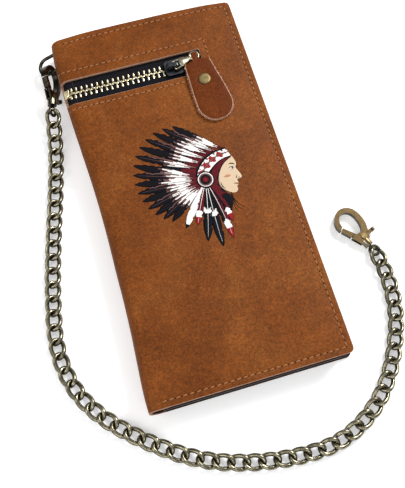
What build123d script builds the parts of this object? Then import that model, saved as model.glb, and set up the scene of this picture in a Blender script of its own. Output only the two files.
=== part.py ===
from build123d import *
import os
from math import cos, pi, radians, sin, sqrt, tan

os.makedirs("parts", exist_ok=True)

# A long folded chain wallet lying on its back, in millimetres.
# X runs from the spine (negative) to the free long edge, Y along the spine towards the zip,
# Z up from the surface that the back cover rests on. The origin is the middle of the back cover.

# ---------------------------------------------------------------- leather case
HALF_LENGTH = 96.5          # middle to each short end
FREE_EDGE = 48.0            # free long edge
SPINE_FACE = -47.5          # outermost face of the spine
THICKNESS = 15.5            # closed, over both covers
LEATHER = 1.5
CORNER = 4.0                # plan radius of the four free corners
FOLD_START = -42.0          # where the flat covers end and the spine begins
FOLD_GAP = 0.3              # cut line between the spine lip and the front cover
COVER_UNDERSIDE = THICKNESS - LEATHER
SPINE_BULGE = 8.0           # height of the spine's lower curve
UPPER_FOLD = 4.5            # outer radius of the fold under the front cover

# ---------------------------------------------------------------- inside leaves
LEAF_EDGE = FREE_EDGE - 0.5
LEAF_START = FOLD_START + 0.5
LEAF_HALF = HALF_LENGTH - 0.5
RIM = 2.5                   # glued and sewn border of each pocket
BACK_LINING_TOP = 2.0
DIVIDER_BOTTOM = 2.8
DIVIDER_TOP = 3.4
PANEL_BOTTOM = 4.2
PANEL_TOP = 5.2
SLOT_LEFT = -38.5
SLOT_RIGHT = 45.0
SLOT_FOOT = -93.5
SLOT_STEP = 14.0            # how far each card slot stands below the one behind it
NOTCH = 9.0                 # radius of the thumb notch in a card slot
BACK_SLOTS = 6
BACK_SLOT_PLY = 0.38
BACK_SLOT_TOP = 34.0
FRONT_SLOTS = 5
FRONT_SLOT_PLY = 0.36
FRONT_SLOT_TOP = 20.0
FRONT_FLOOR_TOP = 10.2
FRONT_FLOOR_BOTTOM = 9.5

# ---------------------------------------------------------------- stitching
SEAM_INSET = 3.0
THREAD = 0.6
THREAD_DEPTH = 0.3
GROOVE = 0.8
GROOVE_DEPTH = 0.4

# ---------------------------------------------------------------- zip pocket
ZIP_Y = 65.2                # centre line of the teeth
WINDOW_BOTTOM = 58.7
WINDOW_TOP = 72.0
WINDOW_END = 25.0
ZIP_SEAM_BOTTOM = 55.6
ZIP_SEAM_TOP = 77.2
ZIP_SEAM_END = 28.8
TAPE_BOTTOM = 13.2
TAPE_TOP = 13.8
TAPE_START = -40.9
TAPE_END = 30.0
TAPE_GAP = 0.9              # half of the gap between the two tapes
TAPE_OUTER_TOP = 78.5
TAPE_OUTER_BOTTOM = 54.3
TAIL_OUTER = 2.8            # radius of the tape's fold inside the spine
TAIL_PLY = 0.6
TAIL_FOOT = 7.0
TOOTH_PITCH = 2.7
TEETH_PER_SIDE = 17
FIRST_TOOTH = -40.2
TOOTH_WIDTH = 1.1
TOOTH_REACH = 0.6           # how far a tooth crosses the centre line
TOOTH_ROOT = 2.6            # how far a tooth stands back from the centre line
TOOTH_BOTTOM = 12.75
TOOTH_TOP = 14.35
POUCH_LEFT = -41.3
POUCH_RIGHT = 36.0
POUCH_FOOT = 2.0
POUCH_HEAD = 84.0
POUCH_CLOTH = 0.3

# ---------------------------------------------------------------- slider, pull and leather tag
SLIDER_LEFT = 5.5
SLIDER_RIGHT = 14.5
SLIDER_HALF = 4.3
SLIDER_FLOOR = 11.8
SLIDER_LOWER = 12.6
SLIDER_UPPER = 14.5
SLIDER_TOP = 15.4
BAIL_HALF = 1.1
BAIL_TOP = 18.5
BAIL_THICK = 0.9
BAIL_LEFT = 6.3
BAIL_RIGHT = 12.6
RAIL_HALF = 0.3
RAIL_LOW_TOP = 12.95
RAIL_HIGH_BOTTOM = 14.05
PULL_PIVOT_X = 10.4
PULL_Z = 16.9
PULL_THICK = 1.0
PULL_TURN = 14.0            # the pull lies turned this far from the zip's line
PULL_LENGTH = 11.4          # pivot to the centre of its eye
PULL_HALF = 2.9
PULL_NECK_HALF = 2.0
PULL_SHOULDER = 3.6
FORK_START = -0.9           # the fork's arms start behind its crossbar
FORK_END = 3.2
FORK_HALF = 1.75
CROSSBAR_RADIUS = 0.5
CROSSBAR_HALF = 2.4
EYE_OUTER = 3.4
EYE_INNER = 2.3
TAG_TURN = 4.5
TAG_BOTTOM = 15.7
TAG_MIDDLE = 16.9
TAG_TOP = 18.1
TAG_LENGTH = 37.9
TAG_NECK = 4.0
TAG_RIVET = 14.3
TAG_SHOULDER_HALF = 5.6
TAG_FOOT_HALF = 8.7
TAG_ROUND_START = 28.0
NECK_HALF = 1.4             # the strap through the pull's eye
NECK_PLY = 0.5
RIVET_SHANK = 1.0
RIVET_CAP = 3.0
RIVET_HEIGHT = 0.9

# ---------------------------------------------------------------- clasps, ring and chain
CLASP_HALF = 1.4            # half the thickness of a clasp body
CHEEK_GAP = 0.85            # half the slot between the cheeks
GATE_HALF = 0.7             # half the gate's tongue, which runs between the cheeks
SLOT_START = 6.4
SLOT_END = 11.7
BARREL_START = 3.2
BARREL_END = 6.8
BARREL_RADIUS = 2.3
BARREL_CAVITY = 1.5         # radius of the room for the swivel's head
SHANK_RADIUS = 0.85
PIN_RADIUS = 1.0
PIN_HEAD = 1.5
PIN_HEAD_HEIGHT = 0.4
PIVOT = (8.4, -0.9)         # gate pivot, from the swivel eye along and across a clasp
NEAR_EYE = (-54.4, 62.0, 7.5)
NEAR_TURN = 10.0            # the near clasp leans this far off the spine's line
NEAR_LEAN = 25.0            # and this far off upright
FAR_EYE = (77.7, -51.3, 2.6)
FAR_TURN = 24.7
HOOKED_AT = 21.8            # where the ring's wire lies inside the near hook
RING_WIRE = 0.9             # radius
RING_HALF = 4.5
RING_LEG = 7.4
RING_BEND = 1.4
TAB_HALF = 2.7
TAB_PLY = 0.8
TAB_FOOT = 3.4
RING_BAR_X = -44.2
CHAIN_RADIUS = 2.15         # a round bar with the metal of the links
CHAIN_ROUTE = [
    (-54.4, 62.0, 7.5),
    (-56.2, 52.0, 4.7),
    (-58.7, 39.0, 2.3),
    (-63.4, 20.5, 2.2),
    (-69.6, -1.5, 2.2),
    (-76.4, -28.0, 2.2),
    (-82.0, -59.5, 2.2),
    (-73.5, -86.5, 2.2),
    (-48.5, -110.5, 2.2),
    (-23.8, -125.5, 2.2),
    (10.2, -133.0, 2.2),
    (37.6, -131.3, 2.2),
    (63.5, -112.5, 2.2),
    (81.8, -73.5, 2.2),
    (77.7, -51.3, 2.6),
]


def save(piece, label):
    """Label a finished piece and write it under the same name."""
    piece.part.label = label
    export_step(piece.part, f"parts/{label}.step")


def band(left, right, low, high):
    """A rectangle between two X and two Y values, in the current sketch."""
    with Locations(((left + right) / 2, (low + high) / 2)):
        return Rectangle(right - left, high - low)


def leaf(left, right, half, radius):
    """A leather leaf: square at the spine, rounded at its two free corners."""
    band(left, right, -half, half)
    fillet(vertices().group_by(Axis.X)[-1], radius)


def edge_seam(width):
    """The seam along both short ends and the free edge, as a band of the given width."""
    side = FREE_EDGE - SEAM_INSET
    end = HALF_LENGTH - SEAM_INSET
    with BuildLine() as seam:
        FilletPolyline((FOLD_START, end), (side, end), (side, -end), (FOLD_START, -end), radius=CORNER - 1)
    trace(seam.line, line_width=width)


def zip_seam(width):
    """The seam round the zip window, open at the spine."""
    with BuildLine() as seam:
        FilletPolyline(
            (FOLD_START, ZIP_SEAM_TOP),
            (ZIP_SEAM_END, ZIP_SEAM_TOP),
            (ZIP_SEAM_END, ZIP_SEAM_BOTTOM),
            (FOLD_START, ZIP_SEAM_BOTTOM),
            radius=2,
        )
    trace(seam.line, line_width=width)


# ================================================================ back half
with BuildPart() as back_cover:
    with BuildSketch(Plane.XY):
        leaf(FOLD_START, FREE_EDGE, HALF_LENGTH, CORNER)
    extrude(amount=LEATHER)
    with BuildSketch(Plane.XY):
        edge_seam(GROOVE)
    extrude(amount=GROOVE_DEPTH, mode=Mode.SUBTRACT)
save(back_cover, "back_cover")

with BuildPart() as back_stitching:
    with BuildSketch(Plane.XY.offset(GROOVE_DEPTH - THREAD_DEPTH)):
        edge_seam(THREAD)
    extrude(amount=THREAD_DEPTH)
save(back_stitching, "back_stitching")

# The two holes let the ring's legs out through the spine.
near_along = Vector(sin(radians(NEAR_TURN)), cos(radians(NEAR_TURN)), 0)
hooked_point = Vector(*NEAR_EYE) + near_along * HOOKED_AT
ring_out = Vector(-cos(radians(NEAR_LEAN)), 0, -sin(radians(NEAR_LEAN)))
ring_reach = (RING_BAR_X - hooked_point.X) / cos(radians(NEAR_LEAN))
ring_bar_z = hooked_point.Z + ring_reach * sin(radians(NEAR_LEAN))
ring_y = hooked_point.Y + RING_HALF

with BuildPart() as spine_cover:
    with BuildSketch(Plane.XZ):
        with BuildLine():
            EllipticalCenterArc(
                (FOLD_START, SPINE_BULGE),
                FOLD_START - SPINE_FACE,
                SPINE_BULGE,
                start_angle=180,
                arc_size=90,
            )
            Line((SPINE_FACE, SPINE_BULGE), (SPINE_FACE, THICKNESS - UPPER_FOLD))
            fold_centre = (SPINE_FACE + UPPER_FOLD, THICKNESS - UPPER_FOLD)
            CenterArc(fold_centre, UPPER_FOLD, 90, 90)
            Line((SPINE_FACE + UPPER_FOLD, THICKNESS), (FOLD_START - FOLD_GAP, THICKNESS))
            Line((FOLD_START - FOLD_GAP, THICKNESS), (FOLD_START - FOLD_GAP, COVER_UNDERSIDE))
            Line((FOLD_START - FOLD_GAP, COVER_UNDERSIDE), (SPINE_FACE + UPPER_FOLD, COVER_UNDERSIDE))
            CenterArc(fold_centre, UPPER_FOLD - LEATHER, 90, 90)
            Line((SPINE_FACE + LEATHER, THICKNESS - UPPER_FOLD), (SPINE_FACE + LEATHER, SPINE_BULGE))
            EllipticalCenterArc(
                (FOLD_START, SPINE_BULGE),
                FOLD_START - SPINE_FACE - LEATHER,
                SPINE_BULGE - LEATHER,
                start_angle=180,
                arc_size=90,
            )
            Line((FOLD_START, LEATHER), (FOLD_START, 0))
        make_face()
    extrude(amount=HALF_LENGTH, both=True)
    with BuildSketch(Plane.XY.offset(THICKNESS - UPPER_FOLD)):
        band(SPINE_FACE - 1, FOLD_START, WINDOW_BOTTOM, WINDOW_TOP)
    extrude(amount=UPPER_FOLD + 1, mode=Mode.SUBTRACT)
    with BuildSketch(Plane.YZ.offset(SPINE_FACE - 1)):
        with Locations((ring_y - RING_HALF, 9.2), (ring_y + RING_HALF, 9.2)):
            Rectangle(2.8, 4.2)
    extrude(amount=3, mode=Mode.SUBTRACT)
save(spine_cover, "spine_cover")

with BuildPart() as back_lining:
    with BuildSketch(Plane.XY.offset(LEATHER)):
        leaf(LEAF_START, LEAF_EDGE, LEAF_HALF, CORNER)
    extrude(amount=BACK_LINING_TOP - LEATHER)
save(back_lining, "back_lining")

# A loose leaf that splits the note pocket in two. It is held only along the spine side.
with BuildPart() as note_divider:
    with BuildSketch(Plane.XY.offset(DIVIDER_BOTTOM)):
        leaf(LEAF_START + 1, LEAF_EDGE - RIM - 0.5, LEAF_HALF - RIM - 0.5, CORNER)
    extrude(amount=DIVIDER_TOP - DIVIDER_BOTTOM)
save(note_divider, "note_divider")

# The inside face, raised on a border along three sides, so the note pocket opens at the spine.
with BuildPart() as back_panel:
    with BuildSketch(Plane.XY.offset(BACK_LINING_TOP)):
        leaf(LEAF_START, LEAF_EDGE, LEAF_HALF, CORNER)
    extrude(amount=PANEL_TOP - BACK_LINING_TOP)
    with BuildSketch(Plane.XY.offset(BACK_LINING_TOP)):
        leaf(LEAF_START - 1, LEAF_EDGE - RIM, LEAF_HALF - RIM, CORNER - 1)
    extrude(amount=PANEL_BOTTOM - BACK_LINING_TOP, mode=Mode.SUBTRACT)
save(back_panel, "back_panel")

for number in range(BACK_SLOTS):
    slot_top = BACK_SLOT_TOP - number * SLOT_STEP
    with BuildPart() as card_slot:
        with BuildSketch(Plane.XY.offset(PANEL_TOP + number * BACK_SLOT_PLY)):
            band(SLOT_LEFT, SLOT_RIGHT, SLOT_FOOT, slot_top)
            with Locations(((SLOT_LEFT + SLOT_RIGHT) / 2, slot_top + NOTCH / 2)):
                Circle(NOTCH, mode=Mode.SUBTRACT)
        extrude(amount=BACK_SLOT_PLY)
    save(card_slot, f"card_slot_back_{number + 1}")

# ================================================================ front half
with BuildPart() as front_cover:
    with BuildSketch(Plane.XY.offset(COVER_UNDERSIDE)):
        leaf(FOLD_START, FREE_EDGE, HALF_LENGTH, CORNER)
    extrude(amount=LEATHER)
    with BuildSketch(Plane.XY.offset(COVER_UNDERSIDE)):
        band(FOLD_START - 1, WINDOW_END, WINDOW_BOTTOM, WINDOW_TOP)
        fillet(vertices().group_by(Axis.X)[-1], 1.5)
    extrude(amount=LEATHER, mode=Mode.SUBTRACT)
    with BuildSketch(Plane.XY.offset(THICKNESS - GROOVE_DEPTH)):
        edge_seam(GROOVE)
    extrude(amount=GROOVE_DEPTH, mode=Mode.SUBTRACT)
    with BuildSketch(Plane.XY.offset(THICKNESS - GROOVE_DEPTH)):
        zip_seam(GROOVE)
    extrude(amount=GROOVE_DEPTH, mode=Mode.SUBTRACT)
save(front_cover, "front_cover")

with BuildPart() as front_stitching:
    with BuildSketch(Plane.XY.offset(THICKNESS - GROOVE_DEPTH)):
        edge_seam(THREAD)
    extrude(amount=THREAD_DEPTH)
save(front_stitching, "front_stitching")

with BuildPart() as zip_stitching:
    with BuildSketch(Plane.XY.offset(THICKNESS - GROOVE_DEPTH)):
        zip_seam(THREAD)
    extrude(amount=THREAD_DEPTH)
save(zip_stitching, "zip_stitching")

# The front half's inside panel is a shallow tray, so that coins fit between it and the cover.
with BuildPart() as front_panel:
    with BuildSketch(Plane.XY.offset(FRONT_FLOOR_BOTTOM)):
        leaf(LEAF_START, LEAF_EDGE, LEAF_HALF, CORNER)
    extrude(amount=COVER_UNDERSIDE - FRONT_FLOOR_BOTTOM)
    with BuildSketch(Plane.XY.offset(FRONT_FLOOR_TOP)):
        leaf(LEAF_START - 1, LEAF_EDGE - RIM, LEAF_HALF - RIM, CORNER - 1)
    extrude(amount=COVER_UNDERSIDE - FRONT_FLOOR_TOP, mode=Mode.SUBTRACT)
save(front_panel, "front_panel")

with BuildPart() as coin_pouch:
    with BuildSketch(Plane.XY.offset(FRONT_FLOOR_TOP)):
        band(POUCH_LEFT, POUCH_RIGHT, POUCH_FOOT, POUCH_HEAD)
    extrude(amount=COVER_UNDERSIDE - FRONT_FLOOR_TOP)
    with BuildSketch(Plane.XY.offset(FRONT_FLOOR_TOP + POUCH_CLOTH)):
        band(
            POUCH_LEFT + POUCH_CLOTH,
            POUCH_RIGHT - POUCH_CLOTH,
            POUCH_FOOT + POUCH_CLOTH,
            POUCH_HEAD - POUCH_CLOTH,
        )
    extrude(amount=COVER_UNDERSIDE - FRONT_FLOOR_TOP - POUCH_CLOTH, mode=Mode.SUBTRACT)
save(coin_pouch, "coin_pouch")

for number in range(FRONT_SLOTS):
    slot_top = FRONT_SLOT_TOP - number * SLOT_STEP
    with BuildPart() as card_slot:
        with BuildSketch(Plane.XY.offset(FRONT_FLOOR_BOTTOM - (number + 1) * FRONT_SLOT_PLY)):
            band(SLOT_LEFT, SLOT_RIGHT, SLOT_FOOT, slot_top)
            with Locations(((SLOT_LEFT + SLOT_RIGHT) / 2, slot_top + NOTCH / 2)):
                Circle(NOTCH, mode=Mode.SUBTRACT)
        extrude(amount=FRONT_SLOT_PLY)
    save(card_slot, f"card_slot_front_{number + 1}")

# ================================================================ zip
# Each side of the zip: which way it lies from the teeth, where its tape ends, and its tooth offset.
ZIP_SIDES = {
    "upper": (1, TAPE_OUTER_TOP, 0.0),
    "lower": (-1, TAPE_OUTER_BOTTOM, TOOTH_PITCH / 2),
}
for side_name, (side, tape_edge, offset_x) in ZIP_SIDES.items():
    tape_inner = ZIP_Y + side * TAPE_GAP
    with BuildPart() as zip_tape:
        with BuildSketch(Plane.XY.offset(TAPE_BOTTOM)):
            band(TAPE_START, TAPE_END, min(tape_inner, tape_edge), max(tape_inner, tape_edge))
        extrude(amount=TAPE_TOP - TAPE_BOTTOM)
    save(zip_tape, f"zip_tape_{side_name}")

    tooth_low = ZIP_Y - TOOTH_REACH if side > 0 else ZIP_Y - TOOTH_ROOT
    tooth_high = ZIP_Y + TOOTH_ROOT if side > 0 else ZIP_Y + TOOTH_REACH
    with BuildPart() as zip_teeth:
        with BuildSketch(Plane.XY.offset(TOOTH_BOTTOM)):
            for tooth in range(TEETH_PER_SIDE):
                centre = FIRST_TOOTH + offset_x + tooth * TOOTH_PITCH
                band(centre - TOOTH_WIDTH / 2, centre + TOOTH_WIDTH / 2, tooth_low, tooth_high)
        extrude(amount=TOOTH_TOP - TOOTH_BOTTOM)
        with BuildSketch(Plane.XY.offset(TAPE_BOTTOM)):
            band(TAPE_START - 1, TAPE_END, min(tape_inner, tape_edge), max(tape_inner, tape_edge))
        extrude(amount=TAPE_TOP - TAPE_BOTTOM, mode=Mode.SUBTRACT)
    save(zip_teeth, f"zip_teeth_{side_name}")

    stop_low = ZIP_Y + (0.4 if side > 0 else -2.4)
    with BuildPart() as zip_stop:
        with BuildSketch(Plane.XY.offset(TOOTH_BOTTOM)):
            band(SLIDER_RIGHT + 0.5, SLIDER_RIGHT + 2.3, stop_low, stop_low + 2)
        extrude(amount=TOOTH_TOP - TOOTH_BOTTOM)
        fillet(edges().filter_by(Axis.Z), 0.4)
        with BuildSketch(Plane.XY.offset(TAPE_BOTTOM)):
            band(SLIDER_RIGHT, SLIDER_RIGHT + 3, min(tape_inner, tape_edge), max(tape_inner, tape_edge))
        extrude(amount=TAPE_TOP - TAPE_BOTTOM, mode=Mode.SUBTRACT)
    save(zip_stop, f"zip_stop_{side_name}")

# The end of the tape follows the fold down inside the spine.
with BuildPart() as zip_tail_tape:
    with BuildSketch(Plane.XZ.offset(-(TAPE_OUTER_TOP + TAPE_OUTER_BOTTOM) / 2)):
        fold_x = SPINE_FACE + UPPER_FOLD
        fold_z = THICKNESS - UPPER_FOLD
        lip_x = FOLD_START - FOLD_GAP
        under_z = fold_z + TAIL_OUTER - TAIL_PLY
        with BuildLine():
            Line((lip_x, fold_z + TAIL_OUTER), (fold_x, fold_z + TAIL_OUTER))
            CenterArc((fold_x, fold_z), TAIL_OUTER, 90, 90)
            Line((fold_x - TAIL_OUTER, fold_z), (fold_x - TAIL_OUTER, TAIL_FOOT))
            Line((fold_x - TAIL_OUTER, TAIL_FOOT), (fold_x - TAIL_OUTER + TAIL_PLY, TAIL_FOOT))
            Line((fold_x - TAIL_OUTER + TAIL_PLY, TAIL_FOOT), (fold_x - TAIL_OUTER + TAIL_PLY, fold_z))
            CenterArc((fold_x, fold_z), TAIL_OUTER - TAIL_PLY, 90, 90)
            Line((fold_x, under_z), (lip_x, under_z))
            Line((lip_x, under_z), (lip_x, fold_z + TAIL_OUTER))
        make_face()
    extrude(amount=(TAPE_OUTER_TOP - TAPE_OUTER_BOTTOM) / 2, both=True)
save(zip_tail_tape, "zip_tail_tape")

tail_corner = sqrt(0.5) * TAIL_OUTER
with BuildPart() as zip_bottom_stop:
    stop_place = (fold_x - tail_corner, ZIP_Y, fold_z + tail_corner)
    with BuildSketch(Plane(origin=stop_place, x_dir=(0, 1, 0), z_dir=(-1, 0, 1)).offset(0.1)):
        RectangleRounded(4.2, 2.2, 0.6)
    extrude(amount=1.2)
save(zip_bottom_stop, "zip_bottom_stop")

# ================================================================ slider, pull and tag
with BuildPart() as zip_slider:
    for plate_bottom, plate_top in ((SLIDER_FLOOR, SLIDER_LOWER), (SLIDER_UPPER, SLIDER_TOP)):
        with BuildSketch(Plane.XY.offset(plate_bottom)):
            band(SLIDER_LEFT, SLIDER_RIGHT, ZIP_Y - SLIDER_HALF, ZIP_Y + SLIDER_HALF)
            chamfer(vertices().group_by(Axis.X)[0], 1.2)
            fillet(vertices().group_by(Axis.X)[-1], 1.6)
        extrude(amount=plate_top - plate_bottom)
    with BuildSketch(Plane.XY.offset(SLIDER_LOWER)):
        with Locations((SLIDER_RIGHT - 2, ZIP_Y)):
            SlotOverall(2.6, 1.4)
    extrude(amount=SLIDER_UPPER - SLIDER_LOWER)
    for rail_y in (ZIP_Y - SLIDER_HALF + RAIL_HALF, ZIP_Y + SLIDER_HALF - RAIL_HALF):
        for rail_bottom, rail_top in ((SLIDER_LOWER, RAIL_LOW_TOP), (RAIL_HIGH_BOTTOM, SLIDER_UPPER)):
            with BuildSketch(Plane.XY.offset(rail_bottom)):
                band(SLIDER_LEFT + 1.5, SLIDER_RIGHT - 2, rail_y - RAIL_HALF, rail_y + RAIL_HALF)
            extrude(amount=rail_top - rail_bottom)
    # The bail is a bridge over the upper plate.
    with BuildSketch(Plane.XZ.offset(-ZIP_Y)):
        band(BAIL_LEFT, BAIL_RIGHT, SLIDER_TOP, BAIL_TOP)
        fillet(vertices().group_by(Axis.Y)[-1], 1.2)
    extrude(amount=BAIL_HALF, both=True)
    with BuildSketch(Plane.XZ.offset(-ZIP_Y)):
        band(BAIL_LEFT + 1, BAIL_RIGHT - 1, SLIDER_TOP, BAIL_TOP - BAIL_THICK)
    extrude(amount=BAIL_HALF + 1, both=True, mode=Mode.SUBTRACT)
save(zip_slider, "zip_slider")

pull_turn = radians(PULL_TURN)
pull_plane = Plane(
    origin=(PULL_PIVOT_X, ZIP_Y, PULL_Z - PULL_THICK / 2),
    x_dir=(cos(pull_turn), sin(pull_turn), 0),
    z_dir=(0, 0, 1),
)
pull_neck = PULL_LENGTH - 1.5
with BuildPart() as pull_tab:
    with BuildSketch(pull_plane):
        with Locations((PULL_LENGTH, 0)):
            Circle(EYE_OUTER)
        with BuildLine():
            Polyline((FORK_START, PULL_HALF), (PULL_SHOULDER, PULL_HALF), (pull_neck, PULL_NECK_HALF))
            Polyline((pull_neck, PULL_NECK_HALF), (pull_neck, -PULL_NECK_HALF), (PULL_SHOULDER, -PULL_HALF))
            Polyline((PULL_SHOULDER, -PULL_HALF), (FORK_START, -PULL_HALF), (FORK_START, PULL_HALF))
        make_face()
    extrude(amount=PULL_THICK)
    with BuildSketch(pull_plane):
        band(FORK_START - 1, FORK_END, -FORK_HALF, FORK_HALF)
    extrude(amount=PULL_THICK, mode=Mode.SUBTRACT)
    with BuildSketch(Plane(origin=(PULL_PIVOT_X, ZIP_Y, PULL_Z), z_dir=(0, 1, 0))):
        Circle(CROSSBAR_RADIUS)
    extrude(amount=CROSSBAR_HALF, both=True)
    with BuildSketch(pull_plane):
        with Locations((PULL_LENGTH, 0)):
            Circle(EYE_INNER)
    extrude(amount=PULL_THICK, mode=Mode.SUBTRACT)
save(pull_tab, "pull_tab")

# The tag is one strap, folded through the pull's eye and riveted to itself.
eye_centre = pull_plane.from_local_coords((PULL_LENGTH, 0, 0))
tag_turn = radians(TAG_TURN)
tag_plane = Plane(
    origin=(eye_centre.X, eye_centre.Y, TAG_BOTTOM),
    x_dir=(cos(tag_turn), sin(tag_turn), 0),
    z_dir=(0, 0, 1),
)
shoulder = (TAG_SHOULDER_HALF, -TAG_NECK)
round_start = (TAG_FOOT_HALF, -TAG_ROUND_START)
with BuildPart() as puller_tag:
    with BuildSketch(tag_plane):
        with BuildLine():
            Line((-shoulder[0], shoulder[1]), shoulder)
            Line(shoulder, round_start)
            ThreePointArc(round_start, (0, -TAG_LENGTH), (-round_start[0], round_start[1]))
            Line((-round_start[0], round_start[1]), (-shoulder[0], shoulder[1]))
        make_face()
    extrude(amount=TAG_TOP - TAG_BOTTOM)
    with BuildSketch(tag_plane):
        band(-NECK_HALF, NECK_HALF, -TAG_NECK - 0.5, -0.9)
    extrude(amount=TAG_TOP - TAG_BOTTOM)
    with BuildSketch(tag_plane.offset(NECK_PLY)):
        band(-NECK_HALF - 1, NECK_HALF + 1, -TAG_NECK + 0.1, -1.7)
    extrude(amount=TAG_TOP - TAG_BOTTOM - 2 * NECK_PLY, mode=Mode.SUBTRACT)
    with BuildSketch(tag_plane):
        with Locations((0, -TAG_RIVET)):
            Circle(RIVET_SHANK)
    extrude(amount=TAG_TOP - TAG_BOTTOM, mode=Mode.SUBTRACT)
save(puller_tag, "puller_tag")

with BuildPart() as puller_rivet:
    with BuildSketch(tag_plane.offset(0.1)):
        with Locations((0, -TAG_RIVET)):
            Circle(RIVET_SHANK)
    extrude(amount=TAG_TOP - TAG_BOTTOM - 0.1)
    with BuildSketch(tag_plane.offset(TAG_TOP - TAG_BOTTOM)):
        with Locations((0, -TAG_RIVET)):
            Circle(RIVET_CAP)
    extrude(amount=RIVET_HEIGHT)
    fillet(edges().group_by(Axis.Z)[-1], 0.6)
save(puller_rivet, "puller_rivet")

# ================================================================ ring and its tab
ring_centre = (RING_BAR_X, ring_y, ring_bar_z)
ring_plane = Plane(origin=ring_centre, x_dir=ring_out, z_dir=ring_out.cross(Vector(0, 1, 0)))
with BuildPart() as d_ring:
    with BuildLine(ring_plane):
        Line((0, 0), (0, RING_HALF - RING_BEND))
        RadiusArc((0, RING_HALF - RING_BEND), (RING_BEND, RING_HALF), RING_BEND)
        Line((RING_BEND, RING_HALF), (RING_LEG, RING_HALF))
        CenterArc((RING_LEG, 0), RING_HALF, 90, -180)
        Line((RING_LEG, -RING_HALF), (RING_BEND, -RING_HALF))
        RadiusArc((RING_BEND, -RING_HALF), (0, -RING_HALF + RING_BEND), RING_BEND)
        Line((0, -RING_HALF + RING_BEND), (0, 0))
    with BuildSketch(Plane(origin=(RING_BAR_X, ring_y, ring_bar_z), z_dir=(0, 1, 0))):
        Circle(RING_WIRE)
    sweep()
save(d_ring, "d_ring")

with BuildPart() as ring_tab:
    with BuildSketch(Plane.XZ.offset(-ring_y)):
        with Locations((RING_BAR_X, ring_bar_z)):
            Circle(RING_WIRE + TAB_PLY)
        band(RING_BAR_X - 0.4, RING_BAR_X + 1.2, TAB_FOOT, ring_bar_z)
    extrude(amount=TAB_HALF, both=True)
    with BuildSketch(Plane.XZ.offset(-ring_y)):
        with Locations((RING_BAR_X, ring_bar_z)):
            Circle(RING_WIRE + 0.05)
    extrude(amount=TAB_HALF, both=True, mode=Mode.SUBTRACT)
save(ring_tab, "ring_tab")

# ================================================================ clasps
near_normal = Vector(
    cos(radians(NEAR_TURN)) * cos(radians(NEAR_LEAN)),
    -sin(radians(NEAR_TURN)) * cos(radians(NEAR_LEAN)),
    sin(radians(NEAR_LEAN)),
)
far_along = Vector(-sin(radians(FAR_TURN)), cos(radians(FAR_TURN)), 0)
CLASPS = {
    "near": Plane(origin=NEAR_EYE, x_dir=near_along, z_dir=near_normal),
    "far": Plane(origin=FAR_EYE, x_dir=far_along, z_dir=(0, 0, 1)),
}


def across(plane, along):
    """The plane square to a clasp's length, at a distance from its swivel eye."""
    return Plane(origin=plane.from_local_coords((along, 0, 0)), x_dir=plane.y_dir, z_dir=plane.x_dir)


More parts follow.
